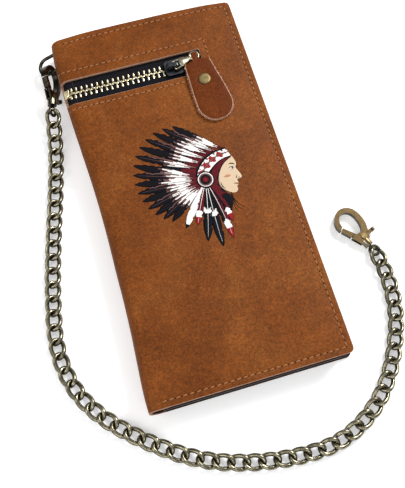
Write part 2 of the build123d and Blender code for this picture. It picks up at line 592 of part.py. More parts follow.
for end_name, clasp in CLASPS.items():
    with BuildPart() as clasp_body:
        with BuildSketch(clasp):
            with BuildLine():
                Polyline((11.4, 4.43), (6.0, 2.7), (6.0, -2.6), (11.5, -5.7))
                Spline((11.5, -5.7), (18.0, -7.1), (23.8, -5.3), (26.0, -0.6), (23.6, 4.4), (17.2, 6.2))
                # The tip's end is round about the gate's pivot, so that the gate swings in past it.
                ThreePointArc((17.2, 6.2), (17.99, 5.09), (18.63, 3.9))
                hook_inside = [(18.63, 3.9), (21.0, 3.4), (23.0, 1.7), (23.6, -0.6), (22.3, -3.2), (18.6, -4.4)]
                Spline(*hook_inside, (11.2, -1.9))
                Line((11.2, -1.9), (11.4, 4.43))
            make_face()
        extrude(amount=CLASP_HALF, both=True)
        with BuildSketch(across(clasp, BARREL_START)):
            Circle(BARREL_RADIUS)
        extrude(amount=BARREL_END - BARREL_START)
        with BuildSketch(clasp):
            band(SLOT_START, SLOT_END, -9, 6)
        extrude(amount=CHEEK_GAP, both=True, mode=Mode.SUBTRACT)
        with BuildSketch(across(clasp, BARREL_START)):
            Circle(0.95)
        extrude(amount=1.4, mode=Mode.SUBTRACT)
        with BuildSketch(across(clasp, BARREL_START + 1.2)):
            Circle(BARREL_CAVITY)
        extrude(amount=1.6, mode=Mode.SUBTRACT)
        with BuildSketch(clasp):
            with Locations(PIVOT):
                Circle(PIN_RADIUS)
        extrude(amount=CLASP_HALF + 1, both=True, mode=Mode.SUBTRACT)
    save(clasp_body, f"{end_name}_clasp_body")

    with BuildPart() as gate_pin:
        with BuildSketch(clasp):
            with Locations(PIVOT):
                Circle(PIN_RADIUS)
        extrude(amount=CLASP_HALF, both=True)
        for face_offset in (CLASP_HALF, -CLASP_HALF - PIN_HEAD_HEIGHT):
            with BuildSketch(clasp.offset(face_offset)):
                with Locations(PIVOT):
                    Circle(PIN_HEAD)
            extrude(amount=PIN_HEAD_HEIGHT)
    save(gate_pin, f"{end_name}_gate_pin")

    with BuildPart() as clasp_gate:
        with BuildSketch(clasp):
            with Locations(PIVOT):
                Circle(1.5)
            Polygon((7.6, -0.9), (7.4, -7.5), (9.3, -7.5), (9.5, -0.9), align=None)
            Polygon((8.2, 0.4), (12.4, 4.0), (12.4, 1.9), (9.6, -1.2), align=None)
        extrude(amount=GATE_HALF, both=True)
        with BuildSketch(clasp):
            Polygon((12.0, 4.45), (16.9, 6.1), (18.0, 4.2), (12.0, 1.5), align=None)
        extrude(amount=CLASP_HALF - 0.1, both=True)
        with BuildSketch(clasp):
            Polygon((7.4, -6.6), (7.4, -7.5), (9.3, -7.5), (9.3, -6.6), align=None)
        extrude(amount=CLASP_HALF, both=True)
        with BuildSketch(clasp):
            with Locations(PIVOT):
                Circle(PIN_RADIUS + 0.05)
        extrude(amount=CLASP_HALF + 1, both=True, mode=Mode.SUBTRACT)
        with BuildSketch(clasp.offset(0.1)):
            with Locations(PIVOT):
                Circle(2.0)
        extrude(amount=1, mode=Mode.SUBTRACT)
    save(clasp_gate, f"{end_name}_gate")

    with BuildPart() as gate_spring:
        with BuildSketch(clasp.offset(0.2)):
            with Locations(PIVOT):
                Circle(1.45)
                Circle(PIN_RADIUS + 0.05, mode=Mode.SUBTRACT)
        extrude(amount=0.5)
    save(gate_spring, f"{end_name}_gate_spring")

    with BuildPart() as swivel_eye:
        with Locations(clasp):
            Torus(2.25, 0.75)
        with BuildSketch(across(clasp, 2.2)):
            Circle(SHANK_RADIUS)
        extrude(amount=2.8)
        with BuildSketch(across(clasp, BARREL_START + 1.4)):
            Circle(1.35)
        extrude(amount=1.0)
    save(swivel_eye, f"{end_name}_swivel_eye")

# ================================================================ chain
route = [Vector(*point) for point in CHAIN_ROUTE]
runs = [second - first for first, second in zip(route, route[1:])]
bend_radii = []
for first_run, second_run in zip(runs, runs[1:]):
    half_turn = radians(first_run.get_angle(second_run) / 2)
    bend_radii.append(0.45 * min(first_run.length, second_run.length) / tan(half_turn))
print("chain bend radii:", [round(radius, 1) for radius in bend_radii])

with BuildPart() as chain:
    with BuildLine() as chain_line:
        FilletPolyline(*CHAIN_ROUTE, radius=bend_radii)
    with BuildSketch(Plane(origin=CHAIN_ROUTE[0], z_dir=runs[0])):
        Circle(CHAIN_RADIUS)
    sweep()
save(chain, "chain")
chain_length = sum(edge.length for edge in chain_line.line.edges())
print("chain length:", round(chain_length, 1))
section = pi * CHAIN_RADIUS**2
print("chain volume:", round(chain.part.volume, 1), "section x length:", round(section * chain_length, 1))
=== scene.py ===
"""Looks of the chain wallet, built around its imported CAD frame.

Sizes are in millimetres until a mesh is made, apart from the chain's route, which is in metres.
"""

import math
import random

import bmesh
import bpy
import numpy as np
from mathutils import Matrix, Vector, noise


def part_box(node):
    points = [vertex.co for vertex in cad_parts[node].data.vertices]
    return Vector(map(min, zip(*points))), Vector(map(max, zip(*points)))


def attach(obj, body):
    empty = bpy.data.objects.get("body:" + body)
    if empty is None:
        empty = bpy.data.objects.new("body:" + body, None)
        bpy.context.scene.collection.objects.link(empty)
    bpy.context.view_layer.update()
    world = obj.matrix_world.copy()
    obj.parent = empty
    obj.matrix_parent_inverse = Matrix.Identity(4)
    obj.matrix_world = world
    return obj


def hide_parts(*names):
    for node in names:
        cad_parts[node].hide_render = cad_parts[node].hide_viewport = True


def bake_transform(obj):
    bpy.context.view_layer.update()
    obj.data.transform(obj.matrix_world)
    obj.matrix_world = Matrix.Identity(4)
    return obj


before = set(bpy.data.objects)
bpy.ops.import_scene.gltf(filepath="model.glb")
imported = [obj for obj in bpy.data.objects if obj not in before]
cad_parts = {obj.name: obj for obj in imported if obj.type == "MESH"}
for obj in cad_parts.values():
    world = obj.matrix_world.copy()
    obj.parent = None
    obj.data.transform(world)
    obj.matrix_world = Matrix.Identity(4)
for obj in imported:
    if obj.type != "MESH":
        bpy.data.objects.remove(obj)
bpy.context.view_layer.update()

MM = 0.001
ROOT, FRONT = "back_half", "front_half"
scene = bpy.context.scene
dice = random.Random(11)


# ------------------------ camera
CAMERA_PLACE = (-44.21, -134.43, 352.54)
CAMERA_RIGHT = (0.95734, -0.28773, 0.02657)
CAMERA_UP = (0.26488, 0.91062, 0.31720)
CAMERA_BACK = (-0.11547, -0.29663, 0.94798)
camera_data = bpy.data.cameras.new("camera")
camera_data.sensor_width = 36.0
camera_data.lens = 56.3
camera_data.clip_start = 0.01
camera_data.clip_end = 10.0
camera = bpy.data.objects.new("camera", camera_data)
scene.collection.objects.link(camera)
turn = Matrix((CAMERA_RIGHT, CAMERA_UP, CAMERA_BACK)).transposed().to_4x4()
camera.matrix_world = Matrix.Translation(Vector(CAMERA_PLACE) * MM) @ turn
scene.camera = camera


# ------------------------ mesh helpers
class Shape:
    """Points and faces collected for one piece."""

    def __init__(self):
        self.points, self.faces, self.slots = [], [], []

    def grid(self, rows, slot=0, close=False, caps=False, loop=False):
        """Quads between equal rows of points.

        close joins each row's ends, loop joins the last row to the first, and caps closes both of them off.
        """
        start, width, count = len(self.points), len(rows[0]), len(rows)
        for row in rows:
            self.points.extend(row)
        for i in range(count if loop else count - 1):
            here, there = start + i * width, start + (i + 1) % count * width
            for j in range(width if close else width - 1):
                k = (j + 1) % width
                self.faces.append((here + j, here + k, there + k, there + j))
                self.slots.append(slot(i, j) if callable(slot) else slot)
        if caps:
            for first in (start, start + (count - 1) * width):
                self.faces.append(tuple(range(first, first + width)))
                self.slots.append(slot(0, 0) if callable(slot) else slot)

    def slab(self, upper, lower, slot=0):
        """A closed thin sheet between two equal grids of points."""
        start, rows, width = len(self.points), len(upper), len(upper[0])
        for layer in (upper, lower):
            for row in layer:
                self.points.extend(row)
        offset = rows * width

        def put(*corners):
            self.faces.append(corners)
            self.slots.append(slot)

        for i in range(rows - 1):
            for j in range(width - 1):
                a = start + i * width + j
                put(a, a + 1, a + width + 1, a + width)
                b = a + offset
                put(b, b + width, b + width + 1, b + 1)
        for i in range(rows - 1):
            for j in (0, width - 1):
                a = start + i * width + j
                put(a, a + width, a + width + offset, a + offset)
        for j in range(width - 1):
            for i in (0, rows - 1):
                a = start + i * width + j
                put(a, a + 1, a + 1 + offset, a + offset)

    def piece(self, name, materials, body=None, sharp=None, slot=None):
        """A mesh object of the points, riding on a CAD body where one is named."""
        mesh = bpy.data.meshes.new(name)
        mesh.from_pydata([tuple(c * MM for c in p) for p in self.points], [], self.faces)
        for material in materials:
            mesh.materials.append(material)
        mesh.polygons.foreach_set("material_index", self.slots)
        tidy = bmesh.new()
        tidy.from_mesh(mesh)
        bmesh.ops.recalc_face_normals(tidy, faces=tidy.faces)
        tidy.to_mesh(mesh)
        tidy.free()
        mesh.polygons.foreach_set("use_smooth", [True] * len(mesh.polygons))
        if sharp is not None:
            mesh.set_sharp_from_angle(angle=math.radians(sharp))
        piece = bpy.data.objects.new(name, mesh)
        scene.collection.objects.link(piece)
        if body:
            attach(piece, body)
        return piece


def tube(centres, radii, sides, up=Vector((0, 0, 1)), closed=False, flatten=1.0):
    """Rings of points along centres, each square to the line there."""
    rings = []
    count = len(centres)
    for i, centre in enumerate(centres):
        before = centres[(i - 1) % count if closed else max(i - 1, 0)]
        after = centres[(i + 1) % count if closed else min(i + 1, count - 1)]
        along = (Vector(after) - Vector(before)).normalized()
        side = along.cross(up).normalized()
        top = side.cross(along)
        radius = radii[i] if hasattr(radii, "__len__") else radii
        ring = []
        for k in range(sides):
            angle = 2 * math.pi * k / sides
            ring.append(Vector(centre) + radius * (side * math.cos(angle) + top * math.sin(angle) * flatten))
        rings.append(ring)
    return rings


def turns(count):
    """That many equal steps of angle round a circle."""
    return np.linspace(0, 2 * math.pi, count, endpoint=False)


def smoothstep(x, low, high):
    t = min(max((x - low) / (high - low), 0.0), 1.0)
    return t * t * (3 - 2 * t)


def through(xs, ys, x):
    """A smooth line through the given points, by Catmull-Rom slopes."""
    x = min(max(x, xs[0]), xs[-1])
    i = max(k for k in range(len(xs) - 1) if xs[k] <= x)
    h = xs[i + 1] - xs[i]

    def slope(k):
        lo, hi = max(k - 1, 0), min(k + 1, len(xs) - 1)
        return (ys[hi] - ys[lo]) / (xs[hi] - xs[lo])

    t = (x - xs[i]) / h
    return (
        (2 * t**3 - 3 * t**2 + 1) * ys[i]
        + (t**3 - 2 * t**2 + t) * h * slope(i)
        + (-2 * t**3 + 3 * t**2) * ys[i + 1]
        + (t**3 - t**2) * h * slope(i + 1)
    )


# ------------------------ materials
def plug(tree, node, **inputs):
    """Gives a node's inputs a value or a link. An underscore stands for a space."""
    for key, value in inputs.items():
        socket = node.inputs[key.replace("_", " ")]
        if isinstance(value, bpy.types.NodeSocket):
            tree.links.new(value, socket)
        else:
            socket.default_value = value
    return node


def add_node(tree, kind, settings=None, **inputs):
    node = tree.nodes.new(kind)
    for key, value in (settings or {}).items():
        setattr(node, key, value)
    return plug(tree, node, **inputs)


def start_material(name):
    material = bpy.data.materials.new(name)
    material.use_nodes = True
    tree = material.node_tree
    place = add_node(tree, "ShaderNodeTexCoord").outputs["Object"]
    return material, tree, tree.nodes["Principled BSDF"], place


def speckle(tree, place, scale, detail=3.0, rough=0.55, distortion=0.0):
    node = add_node(tree, "ShaderNodeTexNoise", Vector=place, Scale=scale, Detail=detail,
                    Roughness=rough, Distortion=distortion)
    return node.outputs["Fac"]


def ramp(tree, value, stops):
    node = add_node(tree, "ShaderNodeValToRGB", Fac=value)
    elements = node.color_ramp.elements
    while len(elements) < len(stops):
        elements.new(0.5)
    for element, (at, colour) in zip(elements, stops):
        element.position = at
        element.color = (*colour, 1) if len(colour) == 3 else colour
    return node.outputs["Color"]


def grey(value):
    return (value, value, value)


def mix_colours(tree, mode, amount, one, two):
    node = tree.nodes.new("ShaderNodeMix")
    node.data_type = "RGBA"
    node.blend_type = mode
    for socket, value in ((node.inputs[0], amount), (node.inputs[6], one), (node.inputs[7], two)):
        if isinstance(value, bpy.types.NodeSocket):
            tree.links.new(value, socket)
        elif socket.type == "RGBA":
            socket.default_value = (*value, 1)
        else:
            socket.default_value = value
    return node.outputs[2]


def bump(tree, height, distance, strength=1.0, below=None):
    node = add_node(tree, "ShaderNodeBump", Height=height, Distance=distance, Strength=strength)
    if below is not None:
        tree.links.new(below, node.inputs["Normal"])
    return node.outputs["Normal"]


def grain(tree, place):
    """The pebbles of leather grain."""
    return add_node(tree, "ShaderNodeTexVoronoi", Vector=place, Scale=1500.0).outputs["Distance"]


def leather(name, dark, middle, light, rough=(0.42, 0.62), depth=0.00007, shine=0.18):
    """Oiled leather: slow darker and paler patches, fine pebble grain, faint scuffs."""
    material, tree, shader, place = start_material(name)
    slow = speckle(tree, place, 24.0, 5.0, 0.6, 0.6)
    colour = ramp(tree, slow, [(0.30, dark), (0.50, middle), (0.72, light)])
    patches = ramp(tree, speckle(tree, place, 85.0, 4.0, 0.65), [(0.32, grey(0.80)), (0.68, grey(1.16))])
    colour = mix_colours(tree, "MULTIPLY", 0.75, colour, patches)
    for scale, low, high in ((1500.0, 0.52, 1.42), (620.0, 0.78, 1.20)):
        specks = ramp(tree, speckle(tree, place, scale, 3.0, 0.7), [(0.33, grey(low)), (0.67, grey(high))])
        colour = mix_colours(tree, "MULTIPLY", 0.9, colour, specks)
    scuffs = ramp(tree, speckle(tree, place, 260.0, 6.0, 0.75, 1.2), [(0.60, grey(0.0)), (0.80, grey(1.0))])
    colour = mix_colours(tree, "MIX", mix_colours(tree, "MULTIPLY", 1.0, scuffs, grey(0.22)), colour,
                         tuple(min(1.0, c * 1.7) for c in light))
    under = bump(tree, speckle(tree, place, 420.0, 4.0), 0.00012, 0.5)
    pebble = bump(tree, grain(tree, place), depth, 0.8, under)
    plug(tree, shader, Base_Color=colour, Specular_IOR_Level=shine,
         Roughness=ramp(tree, slow, [(0.3, grey(rough[0])), (0.7, grey(rough[1]))]),
         Normal=bump(tree, speckle(tree, place, 5200.0, 2.0), depth * 0.4, 0.5, pebble))
    return material


def raw_edge(name, pale, deep):
    """A cut leather edge, fibrous and unfinished."""
    material, tree, shader, place = start_material(name)
    fibres = add_node(tree, "ShaderNodeMapping", Vector=place, Scale=(1.0, 1.0, 5.0)).outputs[0]
    plug(tree, shader, Roughness=0.9, Specular_IOR_Level=0.2,
         Base_Color=ramp(tree, speckle(tree, fibres, 700.0, 6.0, 0.7), [(0.3, deep), (0.65, pale)]),
         Normal=bump(tree, speckle(tree, fibres, 2200.0, 4.0), 0.00012, 0.9))
    return material


def metal(name, bright, worn, rough=(0.22, 0.42), patches=420.0, dark_share=(0.36, 0.62), face=None):
    """Plated metal with darker patina in patches and fine scratches.

    face is the direction that its flat face looks. Where it is given, sides turned across it get painted
    shade, the bevels a painted highlight, and the flat face itself is multiplied down to a bronze tone.
    """
    material, tree, shader, place = start_material(name)
    patina = speckle(tree, place, patches, 5.0, 0.65, 0.4)
    colour = ramp(tree, patina, [(dark_share[0], worn), (dark_share[1], bright)])
    if face:
        turned = add_node(tree, "ShaderNodeVectorMath", {"operation": "DOT_PRODUCT"})
        tree.links.new(add_node(tree, "ShaderNodeTexCoord").outputs["Normal"], turned.inputs[0])
        turned.inputs[1].default_value = face
        flat = add_node(tree, "ShaderNodeMath", {"operation": "ABSOLUTE"}, Value=turned.outputs["Value"])
        # painted shade on the sides and a painted highlight on the bevels, by how each turns to the flat face
        painted_shade_and_highlight = ramp(tree, flat.outputs[0], [(0.25, grey(0.10)), (0.55, grey(1.0)), (0.85, grey(1.0)),
                                              (0.97, (0.34, 0.26, 0.17))])
        colour = mix_colours(tree, "MULTIPLY", 1.0, colour, painted_shade_and_highlight)
    plug(tree, shader, Base_Color=colour, Metallic=1.0,
         Roughness=ramp(tree, patina, [(0.35, grey(rough[1])), (0.65, grey(rough[0]))]),
         Normal=bump(tree, speckle(tree, place, 1800.0, 5.0, 0.7), 0.00004, 0.5))
    return material


def woven(name, base, high, pitch=0.55, rough=0.85):
    """Plain woven cloth, its threads pitch millimetres apart."""
    material, tree, shader, place = start_material(name)
    scale = 2 * math.pi / (20 * pitch * MM)
    warp, weft = (
        add_node(tree, "ShaderNodeTexWave", {"bands_direction": way},
                 Vector=place, Scale=scale, Distortion=0.6)
        for way in "XY"
    )
    weave = mix_colours(tree, "LIGHTEN", 1.0, warp.outputs["Color"], weft.outputs["Color"])
    fuzz = speckle(tree, place, 900.0, 4.0)
    shade = mix_colours(tree, "MULTIPLY", 0.6, weave, ramp(tree, fuzz, [(0.3, grey(0.5)), (0.7, grey(1.0))]))
    plug(tree, shader, Base_Color=ramp(tree, shade, [(0.1, base), (0.9, high)]), Roughness=rough,
         Specular_IOR_Level=0.1, Normal=bump(tree, weave, 0.00012, 0.8))
    return material


def ink(name, colour, variation=0.12):
    """Printed ink that lets a little of the leather grain through."""
    material, tree, shader, place = start_material(name)
    mottled = ramp(tree, speckle(tree, place, 900.0, 4.0),
                   [(0.35, tuple(c * (1 - variation) for c in colour)), (0.65, colour)])
    plug(tree, shader, Base_Color=mottled, Roughness=0.6, Specular_IOR_Level=0.1,
         Normal=bump(tree, grain(tree, place), 0.00004, 0.6))
    return material


NEAR_FACE, FLAT_FACE = (0.8925, -0.1574, 0.4226), (0.0, 0.0, 1.0)
TAN = leather("tan leather", (0.142, 0.037, 0.005), (0.184, 0.050, 0.007), (0.236, 0.075, 0.013), shine=0.12)
TAN_INNER = leather("tan leather inside", (0.13, 0.036, 0.009), (0.165, 0.048, 0.012), (0.195, 0.062, 0.018),
                    rough=(0.55, 0.7))
TAG_LEATHER = leather("tag leather", (0.086, 0.016, 0.001), (0.112, 0.022, 0.002), (0.142, 0.032, 0.004),
                      rough=(0.50, 0.66), depth=0.00004, shine=0.10)
DARK_LEATHER = leather("dark leather", (0.018, 0.008, 0.006), (0.028, 0.012, 0.009), (0.042, 0.019, 0.014))
EDGE = raw_edge("leather raw edge", (0.50, 0.31, 0.22), (0.26, 0.13, 0.085))
# A dark raw edge, also laid as painted shade on the front cover's bottom-end wall.
DARK_EDGE_AND_SHADE = raw_edge("dark raw edge and painted shade", (0.085, 0.055, 0.040), (0.025, 0.015, 0.012))
# Painted shade: a dark disc at each needle hole stands for the hole's dark inside.
HOLE_SHADE = raw_edge("needle hole shade", (0.040, 0.014, 0.006), (0.012, 0.005, 0.003))
FUZZ = raw_edge("tag raw edge", (0.72, 0.46, 0.34), (0.40, 0.20, 0.12))
LINING = woven("lining cloth", (0.020, 0.012, 0.010), (0.050, 0.032, 0.026), 0.45)
TAPE = woven("zip tape cloth", (0.0025, 0.0025, 0.0035), (0.010, 0.010, 0.014), 0.7)
THREAD = woven("thread", (0.25, 0.095, 0.034), (0.47, 0.215, 0.095), 0.35, 0.6)
ZIP_BRASS = metal("zip brass", (0.92, 0.84, 0.60), (0.62, 0.52, 0.30), (0.26, 0.42))
PULL_BRASS = metal("pull brass", (0.66, 0.61, 0.46), (0.20, 0.175, 0.12), (0.18, 0.34), 300.0)
GUNMETAL = metal("slider gunmetal", (0.10, 0.105, 0.115), (0.03, 0.031, 0.036), (0.20, 0.38))
# A lit and a darker copy of one antique brass. On the chain wire the first is a painted highlight along the
# upper sides and the second is painted shade on the rest. The darker copy is also the whole finish of the
# D-ring and swivel eyes.
ANTIQUE = metal("antique brass", (0.34, 0.31, 0.21), (0.11, 0.097, 0.060), (0.18, 0.36), 380.0, (0.34, 0.58))
ANTIQUE_DARK_AND_SHADE = metal("antique brass dark and painted shade", (0.085, 0.078, 0.055), (0.018, 0.016, 0.012), (0.26, 0.46), 380)
# Each clasp's brass carries painted shade on its sides and a painted highlight on its bevels, turned to that
# clasp's flat face.
CLASP_METAL = {
    end: metal(f"{end} clasp brass", (0.50, 0.45, 0.32), (0.20, 0.17, 0.105),
               (0.20, 0.38), 380.0, (0.34, 0.58), way)
    for end, way in (("near", NEAR_FACE), ("far", FLAT_FACE))
}
RIVET = metal("rivet brass", (0.27, 0.205, 0.095), (0.17, 0.120, 0.052), (0.48, 0.60), 700.0)
STEEL = metal("spring steel", (0.35, 0.35, 0.34), (0.15, 0.15, 0.14), (0.25, 0.4))
INK_BLACK = ink("ink black", (0.003, 0.003, 0.006))
INK_WHITE = ink("ink white", (0.90, 0.88, 0.85))
INK_ROSE = ink("ink rose", (0.17, 0.085, 0.080), 0.35)
INK_CRIMSON = ink("ink crimson", (0.115, 0.007, 0.012), 0.25)
INK_RED = ink("ink red", (0.33, 0.012, 0.018), 0.2)
INK_SKIN = ink("ink skin", (0.66, 0.50, 0.34), 0.05)
INK_BLUSH = ink("ink blush", (0.50, 0.25, 0.14), 0.05)


# ------------------------ chain, a free cord from clasp to clasp
ROUTE = [
    (-0.0544, 0.0620, 0.0075), (-0.0562, 0.0520, 0.0047), (-0.0587, 0.0390, 0.0023),
    (-0.0634, 0.0205, 0.0022), (-0.0696, -0.0015, 0.0022), (-0.0764, -0.0280, 0.0022),
    (-0.0820, -0.0595, 0.0022), (-0.0735, -0.0865, 0.0022), (-0.0485, -0.1105, 0.0022),
    (-0.0238, -0.1255, 0.0022), (0.0102, -0.1330, 0.0022), (0.0376, -0.1313, 0.0022),
    (0.0635, -0.1125, 0.0022), (0.0818, -0.0735, 0.0022), (0.0777, -0.0513, 0.0026),
]
LINKS = 54
LINK_HALF_WIDTH, LINK_TWIST, WIRE = 2.95, 1.02, 1.04

line = bpy.data.curves.new("chain line", "CURVE")
line.dimensions = "3D"
spline = line.splines.new("NURBS")
spline.points.add(len(ROUTE) - 1)
for control, corner in zip(spline.points, ROUTE):
    control.co = (*corner, 1.0)
spline.order_u = 3
spline.use_endpoint_u = True
spline.resolution_u = 24
line_object = bpy.data.objects.new("chain line", line)
scene.collection.objects.link(line_object)
line_mesh = bpy.data.meshes.new_from_object(line_object)
chain_path = [v.co.copy() for v in line_mesh.vertices]
bpy.data.objects.remove(line_object)
bpy.data.meshes.remove(line_mesh)

reach = [0.0]
for one, two in zip(chain_path, chain_path[1:]):
    reach.append(reach[-1] + (two - one).length)


def on_chain(distance):
    """The chain line's point and direction, that many metres along it."""
    i = min(max(int(np.searchsorted(reach, distance)) - 1, 0), len(reach) - 2)
    t = (distance - reach[i]) / (reach[i + 1] - reach[i])
    return chain_path[i].lerp(chain_path[i + 1], t), (chain_path[i + 1] - chain_path[i]).normalized()


def wire_lit_and_shaded(along, around):
    """Painted light on a link's wire: its three upward sides take the bright brass as a painted highlight,
    the other seven the dark copy as painted shade.
    """
    return 0 if around in (1, 2, 3) else 1


chain_shape = Shape()
pitch = reach[-1] / LINKS
for k in range(LINKS):
    middle, along = on_chain((k + 0.5) * pitch)
    side = Vector((0, 0, 1)).cross(along).normalized()
    top = along.cross(side)
    lean = math.radians(dice.uniform(-5, 5))
    side, top = side * math.cos(lean) + top * math.sin(lean), top * math.cos(lean) - side * math.sin(lean)
    stretch = pitch / MM / 2 + WIRE
    ring_line = []
    for angle in turns(30):
        ring_line.append(
            middle / MM
            + along * stretch * math.cos(angle)
            + side * LINK_HALF_WIDTH * math.sin(angle)
            + top * LINK_TWIST * math.sin(2 * angle)
        )
    chain_shape.grid(tube(ring_line, WIRE, 10, top, closed=True), slot=wire_lit_and_shaded, close=True, loop=True)
chain = chain_shape.piece("chain_links", [ANTIQUE, ANTIQUE_DARK_AND_SHADE], ROOT, slot="antique_brass")
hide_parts("chain")


# ------------------------ the outer leather, one sheet from cover to cover
HALF_LENGTH, FREE_EDGE, SPINE_FACE, COVER_TOP, LEATHER = 96.5, 48.0, -47.5, 15.5, 1.5
FOLD_RADIUS, BULGE_WIDTH, BULGE_HEIGHT = 4.5, 5.5, 8.0
FOLD_X = SPINE_FACE + FOLD_RADIUS
BULGE_X = SPINE_FACE + BULGE_WIDTH
FOLD_Z = COVER_TOP - FOLD_RADIUS
CORNER = 2.4
SEAM = 3.0
WINDOW_LOW, WINDOW_HIGH, WINDOW_END = 58.7, 72.0, 25.0
ZIP_SEAMS, ZIP_SEAM_END = (55.6, 77.2), 28.8
GROOVE = 0.18
RIM = 0.26
END_BAND = 86.0

CORNER_X = [48.0, 47.75, 47.2, 46.4, 45.6, 45.0, 44.0]
# x, z and the outward direction, from the back cover's free edge round the spine to the front cover's
stations = [(x, 0.0, 0.0, -1.0) for x in CORNER_X + [float(x) for x in np.arange(42.0, BULGE_X + 1, -2.0)]]
for step in range(11):
    angle = math.radians(-90 - 9 * step)
    across, down = math.cos(angle) / BULGE_WIDTH, math.sin(angle) / BULGE_HEIGHT
    size = math.hypot(across, down)
    stations.append((BULGE_X + BULGE_WIDTH * math.cos(angle), BULGE_HEIGHT + BULGE_HEIGHT * math.sin(angle),
                     across / size, down / size))
stations.append((SPINE_FACE, 9.5, -1.0, 0.0))
WINDOW_STATION = len(stations)
for step in range(11):
    angle = math.radians(180 - 9 * step)
    stations.append((FOLD_X + FOLD_RADIUS * math.cos(angle), FOLD_Z + FOLD_RADIUS * math.sin(angle),
                     math.cos(angle), math.sin(angle)))
for x in np.linspace(FOLD_X, WINDOW_END, 33)[1:]:
    stations.append((float(x), COVER_TOP, 0.0, 1.0))
WINDOW_LAST = len(stations) - 1
for x in [26.9, 28.8, 30.6] + [float(x) for x in np.linspace(32.5, 42.2, 6)]:
    stations.append((x, COVER_TOP, 0.0, 1.0))
stations += [(x, COVER_TOP, 0.0, 1.0) for x in reversed(CORNER_X)]

travel = [0.0]
for one, two in zip(stations, stations[1:]):
    travel.append(travel[-1] + math.hypot(two[0] - one[0], two[1] - one[1]))
FOLD_U = travel[WINDOW_STATION]
FRONT_U = travel[WINDOW_STATION + 10]


def front_u(x):
    """Distance round the sheet of a place on the front cover."""
    return FRONT_U + x - FOLD_X


def back_u(x):
    return FREE_EDGE - x


# how far the spine bows, how far the back cover stands out at its free edge, and where the top edge runs
BOW_Y = [-96.5, -88.0, -73.0, -59.0, -44.0, -30.0, -15.0, 0.0, 17.0, 33.0, 50.0, 70.0, 86.0, 96.5]
BOW = [-0.4, -0.4, 0.5, 1.4, 2.0, 2.2, 2.6, 2.7, 2.4, 1.7, 0.9, 0.2, 0.2, 1.0]
BACK_Y = [-96.5, -80.0, 0.0, 60.0, 96.5]
BACK_SHIFT = [1.5, 2.1, 2.4, 2.8, 3.3]
TOP_X = [-48.0, -44.0, -28.0, 4.0, 20.0, 36.0, 44.0, 48.0]
TOP_Y = [95.9, 96.2, 97.1, 97.1, 96.9, 96.3, 95.5, 95.2]


def lift(x, y):
    """How far the front cover swells above its flat plane."""
    inside = min(FREE_EDGE - SEAM - x, HALF_LENGTH - SEAM - abs(y), x - SPINE_FACE + 4)
    calm = smoothstep(inside, 0.0, 14.0) * (1 - smoothstep(y, 42.0, 54.0))
    slow = noise.noise(Vector((x / 38.0, y / 46.0, 3.7)))
    quick = noise.noise(Vector((x / 15.0, y / 17.0, 9.1)))
    return calm * (0.28 + 0.30 * (slow + 0.4 * quick))


def sheet_point(x, z, nx, nz, y, depth=0.0):
    """A point of the outer leather, depth below its outer face. y is its place along the flat sheet."""
    on_front = z > BULGE_HEIGHT
    share = 1 - smoothstep(x, -45.5, -22.0)
    if abs(y) > END_BAND:
        limit = HALF_LENGTH
        if on_front and y > 0:
            limit = through(TOP_X, TOP_Y, x)
        if x > FREE_EDGE - CORNER:
            limit -= CORNER - math.sqrt(max(CORNER**2 - (x - FREE_EDGE + CORNER) ** 2, 0.0))
        scaled = END_BAND + (abs(y) - END_BAND) * (limit - END_BAND) / (HALF_LENGTH - END_BAND)
        y = math.copysign(scaled, y)
    px, pz = x - nx * depth, z - nz * depth
    px += through(BOW_Y, BOW, y) * share
    if on_front:
        pz += lift(x, y) * max(nz, 0.0)
    else:
        px += through(BACK_Y, BACK_SHIFT, y) * smoothstep(x, 20.0, 46.0)
    return Vector((px, y, pz))


def on_sheet(u, y, depth=0.0):
    """The same by distance u round the sheet, with the outward direction there."""
    columns = [np.interp(u, travel, [s[k] for s in stations]) for k in range(4)]
    place = sheet_point(*(float(c) for c in columns), y, depth)
    return place, Vector((float(columns[2]), 0.0, float(columns[3]))).normalized()


ends = [96.5, 95.4, 94.2, 93.5, 93.0, 91.5, 90.0]
rows = [-y for y in ends] + [float(y) for y in np.arange(-88.0, 54.1, 2.0)]
rows += [55.1, 55.6, 56.1, 57.4, 58.7, 60.9, 63.1, 65.35, 67.6, 69.8, 72.0, 73.6, 75.2, 76.7, 77.2, 77.7]
rows += [float(y) for y in np.arange(79.5, 88.6, 1.8)] + list(reversed(ends))
SEAM_X = FREE_EDGE - SEAM
SEAM_Y = HALF_LENGTH - SEAM


def groove_depth(i, y):
    x, z = stations[i][:2]
    flat = z in (0.0, COVER_TOP)
    inside = flat and x <= SEAM_X and abs(y) <= SEAM_Y and (z == 0.0 or x > -41.5)
    if inside and (abs(x - SEAM_X) < 0.01 or abs(abs(y) - SEAM_Y) < 0.01):
        return GROOVE
    if i >= WINDOW_STATION and x <= ZIP_SEAM_END and min(abs(y - s) for s in ZIP_SEAMS) < 0.01:
        return GROOVE
    if i >= WINDOW_STATION and abs(x - ZIP_SEAM_END) < 0.01 and ZIP_SEAMS[0] <= y <= ZIP_SEAMS[1]:
        return GROOVE
    return 0.0


def in_window(i, j):
    return WINDOW_STATION <= i < WINDOW_LAST and WINDOW_LOW <= (rows[j] + rows[j + 1]) / 2 <= WINDOW_HIGH


